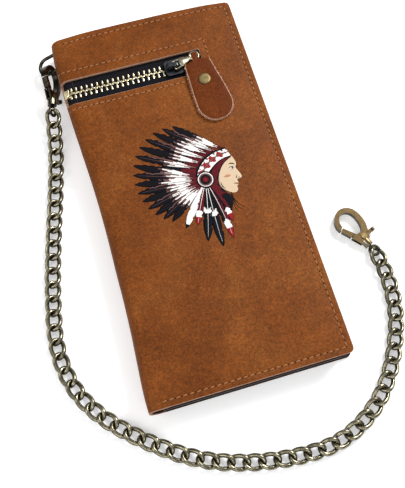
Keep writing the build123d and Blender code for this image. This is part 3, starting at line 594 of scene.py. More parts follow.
case = bmesh.new()
outer = [[case.verts.new(sheet_point(*s, y, groove_depth(i, y)) * MM) for y in rows]
         for i, s in enumerate(stations)]
inner = [[case.verts.new(sheet_point(*s, y, LEATHER) * MM) for y in rows] for s in stations]
walls = {}
for i in range(len(stations) - 1):
    for j in range(len(rows) - 1):
        if in_window(i, j):
            continue
        corners = [(i, j), (i + 1, j), (i + 1, j + 1), (i, j + 1)]
        case.faces.new([outer[a][b] for a, b in corners])
        lined = 2 if stations[i][1] > BULGE_HEIGHT else 3
        case.faces.new([inner[a][b] for a, b in reversed(corners)]).material_index = lined
        for one, two in zip(corners, corners[1:] + corners[:1]):
            key = (min(one, two), max(one, two))
            walls[key] = None if key in walls else (one, two)
wall_faces = []
for pair in [w for w in walls.values() if w]:
    (a, b), (c, d) = pair
    face = case.faces.new([outer[c][d], outer[a][b], inner[a][b], inner[c][d]])
    face.material_index = 1
    wall_faces.append(face)
case.normal_update()
wall_set = set(wall_faces)
rims = [e for e in case.edges if len([f for f in e.link_faces if f in wall_set]) == 1]
bmesh.ops.bevel(case, geom=rims, offset=RIM * MM, offset_type="OFFSET", segments=2, profile=0.5,
                affect="EDGES", material=1, clamp_overlap=False)
bmesh.ops.recalc_face_normals(case, faces=case.faces)
bmesh.ops.delete(case, geom=[v for v in case.verts if not v.link_faces], context="VERTS")
# Painted shade: the front cover's walls along its bottom end, below the rim, take the dark edge colour for
# the shade in the gap beneath. The back half's walls away from the spine take the same dark colour.
for face in case.faces:
    middle = face.calc_center_median() / MM
    under = middle.z < COVER_TOP - RIM and middle.y < -END_BAND
    if face.material_index == 1 and middle.x > -40.0 and (middle.z < BULGE_HEIGHT or under):
        face.material_index = 4
case_mesh = bpy.data.meshes.new("case_leather")
case.to_mesh(case_mesh)
case.free()
for material in (TAN, EDGE, TAN_INNER, DARK_LEATHER, DARK_EDGE_AND_SHADE):
    case_mesh.materials.append(material)
case_mesh.polygons.foreach_set("use_smooth", [True] * len(case_mesh.polygons))
case_mesh.set_sharp_from_angle(angle=math.radians(50))
case_piece = bpy.data.objects.new("case_leather", case_mesh)
scene.collection.objects.link(case_piece)
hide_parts("front_cover", "spine_cover", "back_cover")
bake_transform(case_piece)


# ------------------------ stitching, one raised stitch at a time
def stitch(shape, centre, along, normal, length=2.35, thick=0.29):
    side = normal.cross(along).normalized()
    rings = []
    for k in range(9):
        t = -1 + k / 4
        height = 0.20 * (1 - t * t) - 0.34 * t**4
        middle = centre + along * t * length / 2 + side * 0.14 * t + normal * height
        radius = thick * (1 - 0.35 * abs(t) ** 3)
        ring = []
        for a in range(10):
            angle = 2 * math.pi * a / 10
            ply = 1 + 0.13 * math.cos(2 * angle + 4.2 * t)
            ring.append(middle + radius * ply * (side * math.cos(angle) + normal * math.sin(angle) * 0.8))
        rings.append(ring)
    shape.grid(rings, close=True, caps=True)


def stitch_run(shape, waypoints, depth, spacing=3.05):
    """Stitches along straight runs between places (u, y) on the outer leather."""
    for (u0, y0), (u1, y1) in zip(waypoints, waypoints[1:]):
        total = math.hypot(u1 - u0, y1 - y0)
        count = max(1, round(total / spacing))
        for k in range(count):
            places = [on_sheet(u0 + (u1 - u0) * t, y0 + (y1 - y0) * t, depth)
                      for t in ((k + 0.42) / count, (k + 0.5) / count, (k + 0.58) / count)]
            along = (places[2][0] - places[0][0]).normalized()
            wander = Vector((dice.uniform(-0.06, 0.06), dice.uniform(-0.06, 0.06), 0))
            hole, normal = on_sheet(u0 + (u1 - u0) * k / count, y0 + (y1 - y0) * k / count, depth)
            side = normal.cross(along).normalized()
            # a dark disc over the needle hole, painted shade for its inside
            rings = [[hole + normal * h + r * (1.35 * along * math.cos(a) + side * math.sin(a))
                      for a in turns(8)]
                     for h, r in ((-0.1, 0.30), (0.10, 0.30), (0.12, 0.12))]
            shape.grid(rings, close=True, caps=True, slot=1)
            stitch(shape, places[1][0] + wander, along, places[1][1], 2.35 + dice.uniform(-0.15, 0.15))


def thread_piece(name, body, start, end, high, low, depth=GROOVE):
    """Stitches out along a high seam, down past its end and back along a low one."""
    thread = Shape()
    stitch_run(thread, [(start, high), (end, high), (end, low), (start, low)], depth=depth)
    piece = thread.piece(f"{name}_stitches", [THREAD, HOLE_SHADE], body, slot="tan_thread")
    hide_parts(f"{name}_stitching")
    return piece


thread_piece("front", FRONT, front_u(-41.0), front_u(SEAM_X), SEAM_Y, -SEAM_Y)
zip_stitches = thread_piece("zip", None, FOLD_U + 1.0, front_u(ZIP_SEAM_END), ZIP_SEAMS[1], ZIP_SEAMS[0])
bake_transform(zip_stitches)
thread_piece("back", ROOT, back_u(-40.5), back_u(SEAM_X), SEAM_Y, -SEAM_Y, GROOVE + 0.2)


# ------------------------ zip
TAPE_DEPTH, TAPE_THICK = 1.7, 0.6
ZIP_Y = 65.2
TAPE_LOW, TAPE_HIGH = 54.3, 78.5
TAPE_TOP, TAPE_BOTTOM, TAPE_GAP = 13.72, 13.2, 0.9
TOOTH_PITCH, TEETH, FIRST_TOOTH, TOOTH_Z = 2.7, 17, -40.2, 13.55

tail = Shape()
tail_u = list(np.linspace(FOLD_U - 3.5, front_u(-41.2), 18))
tail_y = list(np.linspace(TAPE_LOW, TAPE_HIGH, 17))
tail.slab([[on_sheet(u, y, TAPE_DEPTH)[0] for y in tail_y] for u in tail_u],
          [[on_sheet(u, y, TAPE_DEPTH + TAPE_THICK)[0] for y in tail_y] for u in tail_u])
tail_piece = tail.piece("zip_tail", [TAPE], slot="black_tape", sharp=50)
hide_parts("zip_tail_tape")
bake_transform(tail_piece)


TOOTH_SIDE = [(1.18, 0.02), (1.22, 0.20), (1.05, 0.40), (0.26, 0.50), (0.20, 0.95), (0.48, 1.15), (0.52, 2.1),
              (0.52, 2.7), (0.34, 3.1)]
TOOTH_LAYERS = [(-0.72, 0.72), (-0.62, 0.94), (0.40, 1.0), (0.66, 0.90), (0.78, 0.62)]   # height, share
TOOTH_WAIST = 1.2


def tooth(shape, centre, along, across, up):
    """One zip tooth: a bar along the middle of the zip, on a narrow neck and a leg clamped to the tape."""
    mirrored = [(-x, y) for x, y in reversed(TOOTH_SIDE)]
    outline = mirrored[-1:] + TOOTH_SIDE + mirrored[:-1]
    rings = []
    for height, inset in TOOTH_LAYERS:
        shrink = 0.75 + 0.25 * inset
        rings.append([centre + along * x * inset + up * height
                      + across * (TOOTH_WAIST + (y - TOOTH_WAIST) * shrink) for x, y in outline])
    shape.grid(rings, close=True, caps=True)


for side_name, sign, first in (("upper", 1, FIRST_TOOTH), ("lower", -1, FIRST_TOOTH + TOOTH_PITCH / 2)):
    body = f"zip_{side_name}_side"
    edge, far = ZIP_Y + sign * TAPE_GAP, (TAPE_HIGH if sign > 0 else TAPE_LOW)
    tape = Shape()
    xs = list(np.linspace(-41.3, 29.8, 64))
    ys = [edge + (far - edge) * t for t in (0, 0.03, 0.07, 0.13, 0.2, 0.3, 0.45, 0.6, 0.8, 1)]
    bead = [0.16, 0.22, 0.16, 0.0, 0.0, 0.0, 0.0, 0.0, 0.0, 0.0]

    def tape_top(x, k):
        return TAPE_TOP + bead[k] + 0.05 * math.sin(x * 0.7 + sign) * (0 if k < 3 else 1)

    tape.slab([[Vector((x, y, tape_top(x, k))) for k, y in enumerate(ys)] for x in xs],
              [[Vector((x, y, TAPE_BOTTOM - bead[k])) for k, y in enumerate(ys)] for x in xs])
    tape_piece = tape.piece(f"{body}_tape", [TAPE], body, sharp=60, slot="black_tape")
    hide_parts(f"zip_tape_{side_name}")
    teeth = Shape()
    for k in range(TEETH):
        place = Vector((first + TOOTH_PITCH * k, ZIP_Y, TOOTH_Z))
        tooth(teeth, place, Vector((1, 0, 0)), Vector((0, sign, 0)), Vector((0, 0, 1)))
    teeth_piece = teeth.piece(f"{body}_teeth", [ZIP_BRASS], body, sharp=40, slot="zip_brass")
    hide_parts(f"zip_teeth_{side_name}")

tail_teeth = Shape()
for k, sign in ((0, -1), (1, 1), (2, -1), (3, 1)):
    u = front_u(-41.55 - 1.35 * k)
    place, normal = on_sheet(u, ZIP_Y, TAPE_DEPTH + 0.25)
    near, _ = on_sheet(u + 0.5, ZIP_Y, TAPE_DEPTH + 0.25)
    tooth(tail_teeth, place, (near - place).normalized(), Vector((0, sign, 0)), normal)
tail_teeth_piece = tail_teeth.piece("zip_tail_teeth", [ZIP_BRASS], sharp=40, slot="zip_brass")
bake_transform(tail_teeth_piece)


# ------------------------ pull, a flat bell between a fork and an eye
PULL_TURN = math.radians(14)
PULL_ALONG = Vector((math.cos(PULL_TURN), math.sin(PULL_TURN), 0))
PULL_ACROSS = Vector((-math.sin(PULL_TURN), math.cos(PULL_TURN), 0))
PULL_PIVOT = Vector((10.4, 65.2, 16.9))
EYE_AT, EYE_RADIUS = 11.4, 2.15


def on_pull(along, across, up=0.0):
    return PULL_PIVOT + PULL_ALONG * along + PULL_ACROSS * across + Vector((0, 0, up))


pull = Shape()
BELL_X = [2.7, 3.0, 3.6, 4.4, 5.4, 6.4, 7.4, 8.4, 9.3, 9.8]
BELL_R = [1.9, 2.35, 2.62, 2.60, 2.30, 1.90, 1.55, 1.32, 1.25, 1.0]
pull.grid(tube([on_pull(x, 0) for x in BELL_X], BELL_R, 20, flatten=0.36), close=True, caps=True)
ring_line = [on_pull(EYE_AT + EYE_RADIUS * math.cos(a), EYE_RADIUS * math.sin(a)) for a in turns(32)]
rings = tube(ring_line, 0.72, 10, closed=True, flatten=0.8)
pull.grid(rings + rings[:1], close=True)
for sign in (-1, 1):
    arm = [on_pull(x, sign * y) for x, y in ((-0.55, 2.25), (0.6, 2.3), (2.0, 2.25), (3.2, 1.9))]
    pull.grid(tube(arm, [0.42, 0.5, 0.55, 0.55], 10), close=True, caps=True)
bar = [PULL_PIVOT + Vector((0, y, 0)) for y in (-2.35, -0.8, 0.8, 2.35)]
pull.grid(tube(bar, 0.46, 10), close=True, caps=True)
pull_piece = pull.piece("pull_bell", [PULL_BRASS], "pull", sharp=50, slot="antique_brass")
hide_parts("pull_tab")


# ------------------------ puller tag
EYE = Vector((21.461, 67.958, 0.0))
TAG_TURN = math.radians(4.5)
TAG_ACROSS = Vector((math.cos(TAG_TURN), math.sin(TAG_TURN), 0))
TAG_DOWN = Vector((math.sin(TAG_TURN), -math.cos(TAG_TURN), 0))
TAG_LOW, TAG_HIGH = 15.75, 18.1
TAG_HALF, TAG_ROUND_AT, TAG_ROUND = 8.8, 29.0, 8.9


def tag_half_width(v):
    if v < 4.4:
        return through([-1.6, 2.0, 3.0, 3.8, 4.4], [1.5, 1.5, 2.4, 5.6, 6.5], v)
    if v < TAG_ROUND_AT:
        return through([4.4, 12.0, 20.0, TAG_ROUND_AT], [6.5, 7.3, 8.2, TAG_HALF], v)
    return TAG_HALF * math.sqrt(max(0.0, 1 - ((v - TAG_ROUND_AT) / TAG_ROUND) ** 2))


tag = Shape()
tag_rows = [-1.4, 0.0, 1.4, 2.2, 2.8, 3.3, 3.8, 4.2, 5.0, 6.2]
tag_rows += [float(v) for v in np.linspace(7.5, TAG_ROUND_AT, 20)]
tag_rows += [TAG_ROUND_AT + TAG_ROUND * math.sin(math.radians(a))
             for a in (10, 20, 30, 40, 50, 59, 67, 74, 80, 85, 88.5)]
tag_columns = [math.sin(math.radians(a)) for a in range(-90, 91, 12)]
layers = {}
for layer, base in (("top", TAG_HIGH), ("bottom", TAG_LOW)):
    grid = []
    for v in tag_rows:
        half = tag_half_width(v)
        ragged = [0.34 * noise.noise(Vector((v * 1.3, *seed))) for seed in ((3.0, 1.0), (9.0, 5.0))]
        row = []
        for c in tag_columns:
            x = c * half + (ragged[1] if c > 0 else ragged[0]) * abs(c) ** 6
            rim = abs(c) ** 8
            end = smoothstep(v, 36.4, 37.9)
            z = base
            if layer == "top":
                z += -0.35 * max(rim, end) + 0.10 * noise.noise(Vector((x / 7, v / 9, 2)))
                pressed = math.hypot(x, v - 14.3)
                z -= 0.28 * (1 - smoothstep(pressed, 2.6, 6.0))
            else:
                z += 0.25 * max(rim, end)
            row.append(EYE + TAG_ACROSS * x + TAG_DOWN * v + Vector((0, 0, z)))
        grid.append(row)
    layers[layer] = grid
tag.slab(layers["top"], layers["bottom"])
inner_cells = (len(tag_rows) - 1) * (len(tag_columns) - 1) * 2
tag.slots = [0] * inner_cells + [1] * (len(tag.faces) - inner_cells)
width = len(tag_columns) - 1
for i in range(len(tag_rows) - 1):
    for j in range(width):
        if (j in (0, width - 1) and tag_rows[i] > 3.5) or i >= len(tag_rows) - 3:
            at = (i * width + j) * 2
            tag.slots[at] = tag.slots[at + 1] = 1
tag_piece = tag.piece("tag_leather", [TAG_LEATHER, FUZZ], "tag", sharp=60, slot="tag_leather")
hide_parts("puller_tag")

fuzz = Shape()
FIBRES = 260
for k in range(FIBRES):
    v = 4.0 + 34.0 * k / FIBRES
    half = tag_half_width(min(v, 37.6))
    for sign in (-1, 1):
        root_at = EYE + TAG_ACROSS * sign * half + TAG_DOWN * v + Vector((0, 0, dice.uniform(16.1, 17.8)))
        out = (TAG_ACROSS * sign + TAG_DOWN * (1.2 * smoothstep(v, 30, 38) + dice.uniform(-0.4, 0.4))
               + Vector((0, 0, dice.uniform(-0.5, 0.4)))).normalized()
        length = dice.uniform(0.15, 0.95) ** 1.6
        points = [root_at - out * 0.2, root_at + out * length * 0.5,
                  root_at + out * length + TAG_DOWN * dice.uniform(-0.2, 0.2)]
        fuzz.grid(tube(points, [0.15, 0.12, 0.04], 4), close=True, caps=True)
fuzz.piece("tag_edge_fibres", [FUZZ], "tag", slot="tag_leather")

rivet = Shape()
centre = EYE + TAG_DOWN * 14.8
profile = [(3.05, 17.7), (3.12, 18.0), (3.05, 18.3), (2.85, 18.5), (2.4, 18.62), (1.6, 18.68),
           (0.8, 18.7), (0.15, 18.7)]
rings = []
for radius, z in profile:
    rings.append([centre + Vector((radius * math.cos(a), radius * math.sin(a), z)) for a in turns(40)])
rivet.grid(rings, close=True, caps=True)
rivet_piece = rivet.piece("tag_rivet", [RIVET], "tag", sharp=60, slot="antique_brass")
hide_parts("puller_rivet")


# ------------------------ print: a profile head in a feather fan
HEAD_TURN = math.radians(16.5)
ROSETTE = Vector((7.6, 1.7))


def on_print(hx, hy, height):
    """A place in the head's own upright plane, put on the cover."""
    x = ROSETTE.x + hx * math.cos(HEAD_TURN) + hy * math.sin(HEAD_TURN)
    y = ROSETTE.y - hx * math.sin(HEAD_TURN) + hy * math.cos(HEAD_TURN)
    return Vector((x, y, COVER_TOP + lift(x, y) + height))


INKS = [INK_BLACK, INK_WHITE, INK_ROSE, INK_CRIMSON, INK_RED, INK_SKIN, INK_BLUSH]
BLACK, WHITE, ROSE, CRIMSON, RED, SKIN, BLUSH = range(7)


def strip(shape, left, right, height, slot, columns=6, thick=0.05):
    """Ink between two lines of equally many points. slot(t, w) names the ink at t along and w across."""
    count = len(left)
    top = [[on_print(*(left[i] + (right[i] - left[i]) * w / columns), height) for w in range(columns + 1)]
           for i in range(count)]
    low = [[p - Vector((0, 0, thick + height * 0.9)) for p in row] for row in top]
    start = len(shape.slots)
    shape.slab(top, low)
    shape.slots = shape.slots[:start] + [0] * (len(shape.faces) - start)
    at = start
    for i in range(count - 1):
        for j in range(columns):
            chosen = slot((i + 0.5) / (count - 1), (j + 0.5) / columns) if callable(slot) else slot
            shape.slots[at] = shape.slots[at + 1] = chosen
            at += 2
    for k in range(at, len(shape.slots)):
        shape.slots[k] = slot(0.7, 0.0) if callable(slot) else slot


def quadratic(a, b, c, t):
    return a * (1 - t) ** 2 + b * 2 * t * (1 - t) + c * t * t


TAPER, SPLIT = 0.70, 0.06      # where along a feather its point begins, and how long its splits are


def feather(shape, base, tip, bend, width, height, zones, notches=(), shaft=None, steps=44):
    """One feather from base to tip, bending sideways, over a slightly wider dark outline."""
    base, tip = Vector(base), Vector(tip)
    way = tip - base
    side = Vector((-way.y, way.x)).normalized()
    middle = (base + tip) / 2 + side * bend
    for grow, level, inkwell in ((0.22, height, BLACK), (0.0, height + 0.015, zones)):
        left, right = [], []
        for i in range(steps + 1):
            t = i / steps
            along = quadratic(base, middle, tip, t)
            later, earlier = (quadratic(base, middle, tip, s) for s in (min(t + 0.01, 1), max(t - 0.01, 0)))
            normal = Vector((earlier.y - later.y, later.x - earlier.x)).normalized()
            half = width * (0.30 + 0.70 * smoothstep(t, 0.0, 0.55))
            if t > TAPER:
                half *= max(0.0, 1 - ((t - TAPER) / (1 - TAPER)) ** 1.7) ** 0.85
            cut_left = cut_right = 1.0
            for where, which in notches:
                dip = 0.36 * (1 - (where - t) / SPLIT) if 0 <= where - t < SPLIT else 0.0
                if which > 0:
                    cut_left -= dip
                else:
                    cut_right -= dip
            left.append(along + normal * max(half * cut_left + grow, 0.03))
            right.append(along - normal * max(half * cut_right + grow, 0.03))
        strip(shape, left, right, level, inkwell, 6)
    if shaft is not None:
        line = [quadratic(base, middle, tip, t) for t in np.linspace(0.04, 0.93, 16)]
        stroke(shape, line, [0.16 * (1 - 0.7 * k / 15) for k in range(16)], height + 0.03, shaft)


def stroke(shape, line, halves, height, inkwell):
    """A drawn line of changing width."""
    left, right = [], []
    for i, point in enumerate(line):
        ahead = Vector(line[min(i + 1, len(line) - 1)]) - Vector(line[max(i - 1, 0)])
        normal = Vector((-ahead.y, ahead.x)).normalized()
        half = halves[i] if hasattr(halves, "__len__") else halves
        left.append(Vector(point) + normal * half)
        right.append(Vector(point) - normal * half)
    strip(shape, left, right, height, inkwell, 1)


def swelling(ends, rise):
    """Half widths of a drawn line that is widest in its middle."""
    return [ends + rise * math.sin(math.pi * k / 17) for k in range(18)]


def disc(shape, x, y, radius, height, inkwell, count, columns):
    """A filled circle of ink, between its upper and lower half."""
    angles = np.linspace(0, math.pi, count)
    upper, lower = ([Vector((x + radius * math.cos(a), y + sign * radius * math.sin(a))) for a in angles]
                    for sign in (1, -1))
    strip(shape, upper, lower, height, inkwell, columns)


def smooth_line(points, count=18):
    """A smooth line through the points, by their distance along it."""
    points = [Vector(p) for p in points]
    at = [0.0]
    for one, two in zip(points, points[1:]):
        at.append(at[-1] + (two - one).length)
    return [Vector((through(at, [p.x for p in points], d), through(at, [p.y for p in points], d)))
            for d in np.linspace(0, at[-1], count)]


def fan_zones(seed):
    shade = random.Random(seed)
    low, high = 0.13 + shade.uniform(-0.03, 0.03), 0.44 + shade.uniform(-0.05, 0.06)
    phase = shade.uniform(0, 6)
    streaked = seed % 2

    def zone(t, w):
        tooth_edge = 0.07 * math.sin(11 * w + phase) + 0.10 * abs(w - 0.5)
        if t < low + tooth_edge:
            return CRIMSON
        if t < high - tooth_edge * 1.3:
            return WHITE
        if t < high + 0.08 - tooth_edge or (streaked and w > 0.8 and t < 0.8):
            return ROSE
        return BLACK

    return zone


feathers = Shape()
FAN, FAN_FROM, FAN_SWEEP = 15, 120, 114      # feathers, and the angles in degrees that they stand at
BAND_SHARE = 0.42                             # the share of them that grow from the head band
BAND_BACK = (Vector((8.6, 16.2)), Vector((-1.2, 12.4)), Vector((-4.4, 3.2)))
ground_inner, ground_outer = [], []
for k in range(FAN):
    share = k / (FAN - 1)
    angle = math.radians(FAN_FROM + FAN_SWEEP * share)
    radius = through([0, 0.15, 0.35, 0.6, 0.85, 1], [32.5, 35.6, 36.0, 33.5, 30.0, 26.5], share)
    tip = Vector((math.cos(angle), math.sin(angle))) * radius
    if share < BAND_SHARE:
        base = quadratic(*BAND_BACK, share / BAND_SHARE)
    else:
        turned = math.radians(160 + 84 * (share - BAND_SHARE) / (1 - BAND_SHARE))
        base = Vector((math.cos(turned), math.sin(turned))) * 4.6
    ground_inner.append(base * 0.8)
    ground_outer.append(base.lerp(tip, 0.56))
    notches = [(0.56 + 0.05 * (k % 3), 1), (0.68 + 0.03 * (k % 2), -1), (0.78, 1 if k % 2 else -1), (0.9, -1)]
    feather(feathers, base, tip, 1.2 - 2.4 * share, 1.78, 0.04 + 0.012 * (k % 2) + 0.004 * k, fan_zones(k),
            notches, ROSE if k % 2 else None)
strip(feathers, smooth_line(ground_inner, 30), smooth_line(ground_outer, 30), 0.02,
      lambda t, w: CRIMSON if w < 0.42 + 0.1 * math.sin(60 * t) else BLACK, 12)
feathers.piece("print_feathers", INKS, FRONT)

drops = Shape()


def white_tipped(t, w):
    return BLACK if t > 0.90 else (WHITE if t > 0.05 else CRIMSON)


def crimson_drop(t, w):
    if t > 0.80:
        return RED
    return WHITE if t > 0.62 + 0.1 * abs(w - 0.5) else CRIMSON


def dark_drop(t, w):
    return WHITE if 0.44 < t + 0.12 * abs(w - 0.5) < 0.52 else BLACK


def red_drop(t, w):
    if t > 0.82:
        return RED
    if t > 0.66 + 0.1 * abs(w - 0.5):
        return WHITE
    return CRIMSON if w < 0.5 else BLACK


for tip_angle, radius, width, bend, zones, shaft in (
    (-58, 24.5, 1.5, 1.6, red_drop, None),
    (-66, 32.0, 1.7, 1.2, red_drop, WHITE),
    (-76, 34.5, 2.0, -0.8, dark_drop, WHITE),
    (-99, 23.5, 1.6, -0.6, crimson_drop, WHITE),
    (-88, 31.0, 2.1, 0.8, dark_drop, WHITE),
    (-110, 26.5, 1.7, -0.6, white_tipped, None),
):
    angle = math.radians(tip_angle)
    direction = Vector((math.cos(angle), math.sin(angle)))
    notches = [(0.45, 1), (0.6, -1), (0.75, 1)]
    feather(drops, direction * 3.4, direction * radius, bend, width, 0.10, zones, notches, shaft)
drops.piece("print_side_feathers", INKS, FRONT)

head = Shape()
FACE_Y = [-6.6, -6.0, -5.0, -3.6, -1.6, 1.6, 5.0, 8.6, 12.6]
FACE_BACK = [13.0, 11.0, 9.0, 7.4, 6.4, 5.9, 6.2, 8.2, 12.2]
PROFILE_Y = [-6.6, -6.1, -5.2, -4.3, -3.4, -2.8, -2.2, -1.75, -1.3, -0.6, 0.2, 0.75, 1.3, 2.0, 3.2, 4.8,
             6.4, 7.2, 8.0, 9.2, 10.8, 12.6]
PROFILE_X = [13.9, 14.9, 15.5, 15.55, 15.1, 15.45, 15.8, 15.35, 15.85, 15.45, 15.25, 16.0, 17.2, 17.45,
             16.9, 15.7, 14.55, 14.5, 14.8, 14.65, 13.9, 12.7]
levels = np.linspace(FACE_Y[0], FACE_Y[-1], 74)
face_back = [Vector((through(FACE_Y, FACE_BACK, y), y)) for y in levels]
face_front = [Vector((through(PROFILE_Y, PROFILE_X, y), y)) for y in levels]
strip(head, [p - Vector((0.2, 0)) for p in face_back], [p + Vector((0.16, 0)) for p in face_front],
      0.06, BLACK, 4)
strip(head, face_back, face_front, 0.08, SKIN, 12)
stroke(head, smooth_line([(11.0, 8.15), (12.2, 8.6), (13.2, 8.55), (14.1, 8.1)]),
       swelling(0.08, 0.22), 0.10, BLACK)
stroke(head, smooth_line([(11.3, 6.1), (12.2, 6.75), (13.2, 6.75), (13.8, 6.2)]),
       swelling(0.08, 0.15), 0.10, BLACK)
strip(head, smooth_line([(11.5, 6.1), (12.3, 6.55), (13.1, 6.6), (13.7, 6.2)], 12),
      smooth_line([(11.5, 6.05), (12.3, 5.75), (13.1, 5.7), (13.7, 6.1)], 12), 0.09, WHITE, 3)
disc(head, 12.9, 6.18, 0.42, 0.10, BLACK, 10, 3)
stroke(head, smooth_line([(11.7, 5.75), (12.5, 5.5), (13.5, 5.75)]), 0.06, 0.10, BLACK)
stroke(head, smooth_line([(15.2, 2.6), (14.75, 1.9), (14.9, 1.2), (15.4, 1.0)]),
       swelling(0.07, 0.12), 0.10, BLACK)
stroke(head, smooth_line([(15.7, 1.25), (16.15, 1.5), (16.55, 1.35)]), 0.12, 0.10, BLACK)
strip(head, smooth_line([(13.9, -1.75), (14.8, -1.35), (15.55, -1.15)], 10),
      smooth_line([(13.9, -1.8), (14.8, -2.3), (15.45, -2.4)], 10), 0.09, BLUSH, 3)
stroke(head, smooth_line([(13.6, -1.85), (14.5, -1.7), (15.45, -1.8)]), 0.13, 0.11, BLACK)
strip(head, smooth_line([(8.6, 1.4), (10.2, 2.7), (12.0, 2.6)], 14),
      smooth_line([(8.6, 1.3), (10.2, 1.3), (12.0, 1.9)], 14), 0.09, BLUSH, 4)
stroke(head, smooth_line([(7.2, -1.2), (8.0, -3.2), (9.6, -4.6)]),
       swelling(0.08, 0.14), 0.10, BLACK)
head.piece("print_face", INKS, FRONT)

dress = Shape()
strip(dress, smooth_line([(10.9, 12.3), (5.8, 9.4), (2.9, 5.2), (1.6, 0.0), (2.8, -5.0), (6.2, -8.6)], 34),
      smooth_line([(12.5, 12.2), (8.9, 8.6), (6.9, 4.2), (6.3, 0.0), (7.2, -3.6), (9.8, -6.8)], 34), 0.11,
      lambda t, w: CRIMSON if 0.12 < w < 0.86 + 0.1 * math.sin(40 * t) else BLACK, 9)
strip(dress, smooth_line([(4.6, -4.6), (6.8, -9.0), (9.8, -12.5), (11.6, -16.6)], 24),
      smooth_line([(7.6, -3.9), (10.2, -6.6), (13.0, -8.6), (12.6, -15.8)], 24), 0.07, BLACK, 5)
for offset in (0.0, 1.0, 2.1):
    stroke(dress, smooth_line([(12.2 - offset, -6.2 - offset), (13.4 - offset * 0.6, -9.6),
                               (16.6 - offset, -12.8 - offset), (20.6 - 2 * offset, -14.6 - offset)]),
           [0.32 * (1 - k / 18.5) for k in range(18)], 0.06, BLACK)


def beads(t, w):
    """White bead rows with red stepped triangles, between dark borders."""
    if w < 0.15 or w > 0.90:
        return BLACK
    if int(t * 40) % 4 == 0 and 0.28 > w or 0.46 < w < 0.54:
        return ROSE
    lobe = abs((t * 4.5) % 1.0 - 0.5) * 2
    return RED if abs(w - 0.5) < 0.34 * lobe and 0.06 < t < 0.96 else WHITE


strip(dress, smooth_line([(9.4, 17.2), (3.4, 14.6), (-1.4, 10.6), (-4.4, 4.8), (-4.7, 1.5)], 46),
      smooth_line([(12.4, 12.4), (8.4, 10.6), (5.2, 7.8), (2.6, 4.4), (0.5, 1.2)], 46), 0.13, beads, 20)
for radius, height, inkwell in ((4.35, 0.15, BLACK), (3.7, 0.17, WHITE), (3.25, 0.18, ROSE),
                                (2.55, 0.19, BLACK), (1.5, 0.20, CRIMSON), (0.6, 0.21, RED)):
    disc(dress, 0.0, 0.0, radius, height, inkwell, 26, 8)
dress.piece("print_headdress", INKS, FRONT)


# ------------------------ sewn and painted edges of the card slots
NOTCH, SLOT_SEAM, EDGE_ROLL, SLOT_STITCH = 9.0, 2.3, 0.24, 3.1
for half_name, body, facing, count in (("back", ROOT, 1, 6), ("front", FRONT, -1, 5)):
    edges = Shape()
    for number in range(1, count + 1):
        low, high = (Vector(corner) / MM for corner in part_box(f"card_slot_{half_name}_{number}"))
        face = high.z if facing > 0 else low.z
        core = face - facing * 0.19
        middle = (low.x + high.x) / 2
        notch = [(middle + NOTCH * math.cos(a), high.y + NOTCH / 2 + NOTCH * math.sin(a))
                 for a in np.linspace(math.radians(210), math.radians(330), 15)]
        line = [(x, high.y) for x in np.linspace(low.x + 0.3, notch[0][0] - 0.5, 8)] + notch
        line += [(x, high.y) for x in np.linspace(notch[-1][0] + 0.5, high.x - 0.3, 8)]
        edges.grid(tube([Vector((x, y, core)) for x, y in line], EDGE_ROLL, 8), close=True, caps=True)
        runs = int((high.x - low.x - 3) / SLOT_STITCH)
        for k in range(runs):
            x = low.x + 1.5 + (k + 0.5) * SLOT_STITCH
            if abs(x - middle) < NOTCH - 0.3:
                continue
            place = Vector((x, high.y - SLOT_SEAM, face - facing * 0.12))
            start = len(edges.slots)
            stitch(edges, place, Vector((1, 0, 0)), Vector((0, 0, facing)), 2.3, 0.20)
            edges.slots[start:] = [1] * (len(edges.slots) - start)
    edges.piece(f"card_edges_{half_name}", [DARK_LEATHER, THREAD], body, slot="dark_leather")


# ------------------------ CAD nodes that stay, with their finish
def finish_node(name, material, rim=0.0):
    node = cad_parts[name]
    node.data.materials.clear()
    node.data.materials.append(material)
    if rim:
        weld = node.modifiers.new("weld", "WELD")
        weld.merge_threshold = 1e-6
        soft = node.modifiers.new("rim", "BEVEL")
        soft.width = rim * MM
        soft.segments = 2
        soft.limit_method = "ANGLE"
        soft.angle_limit = math.radians(38)
        soft.use_clamp_overlap = True
        soft.harden_normals = False


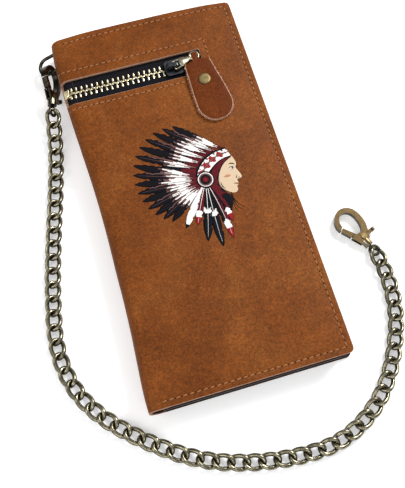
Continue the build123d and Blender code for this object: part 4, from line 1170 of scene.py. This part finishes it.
NODE_FINISH = [
    (CLASP_METAL["near"], 0.45, "near_clasp_body near_gate"),
    (CLASP_METAL["far"], 0.45, "far_clasp_body far_gate"),
    (ANTIQUE_DARK_AND_SHADE, 0.2, "d_ring near_swivel_eye far_swivel_eye"),
    (RIVET, 0.12, "near_gate_pin far_gate_pin"),
    (STEEL, 0.0, "near_gate_spring far_gate_spring"),
    (GUNMETAL, 0.25, "zip_slider"),
    (ZIP_BRASS, 0.15, "zip_bottom_stop zip_stop_upper zip_stop_lower"),
    (DARK_LEATHER, 0.1, "ring_tab"),
]
for material, rim, names in NODE_FINISH:
    for name in names.split():
        finish_node(name, material, rim)
done = {name for _, _, names in NODE_FINISH for name in names.split()}
for name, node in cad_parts.items():
    if name in done or node.hide_render:
        continue
    if "lining" in name or "pouch" in name:
        finish_node(name, LINING)
    elif "card_slot" in name:
        finish_node(name, TAN_INNER, 0.08)
    else:
        finish_node(name, DARK_LEATHER, 0.1)


# ------------------------ floor and light
FLOOR_HALF, FLOOR_Z, FLOOR_GLOW = 3.0, -0.0002, 0.38
floor_mesh = bpy.data.meshes.new("floor")
corners = [(x * FLOOR_HALF, y * FLOOR_HALF, FLOOR_Z) for x, y in ((-1, -1), (1, -1), (1, 1), (-1, 1))]
floor_mesh.from_pydata(corners, [], [(0, 1, 2, 3)])
floor = bpy.data.objects.new("floor", floor_mesh)
scene.collection.objects.link(floor)
floor_material, tree, shader, _ = start_material("floor paper")
plug(tree, shader, Base_Color=(0.86, 0.86, 0.86, 1), Roughness=0.9, Specular_IOR_Level=0.1,
     Emission_Color=(1, 1, 1, 1), Emission_Strength=FLOOR_GLOW)
floor_mesh.materials.append(floor_material)


def soft_light(name, place, size, power):
    """A rectangular light that looks at the origin."""
    data = bpy.data.lights.new(name, "AREA")
    data.shape = "RECTANGLE"
    data.size, data.size_y = size
    data.energy = power
    light = bpy.data.objects.new(name, data)
    scene.collection.objects.link(light)
    light.location = place
    light.rotation_mode = "QUATERNION"
    light.rotation_quaternion = (-Vector(place)).to_track_quat("-Z", "Y")


soft_light("key", (0.62, 0.38, 0.70), (0.42, 0.34), 10.0)
soft_light("fill", (-0.70, -0.05, 0.60), (0.5, 0.7), 2.6)
soft_light("front", (-0.10, -0.80, 0.55), (0.8, 0.3), 2.2)

world = bpy.data.worlds.new("studio")
scene.world = world
world.use_nodes = True
tree = world.node_tree
direction = add_node(tree, "ShaderNodeTexCoord").outputs["Generated"]
height = add_node(tree, "ShaderNodeSeparateXYZ", Vector=direction).outputs["Z"]
sky = ramp(tree, height, [(0.0, grey(1.3)), (0.06, grey(1.2)), (0.16, grey(0.22)), (0.40, grey(0.16)),
                          (0.65, grey(0.5)), (0.92, grey(1.0))])
tree.links.new(sky, tree.nodes["Background"].inputs["Color"])
tree.nodes["Background"].inputs["Strength"].default_value = 0.62
scene.view_settings.view_transform = "Standard"
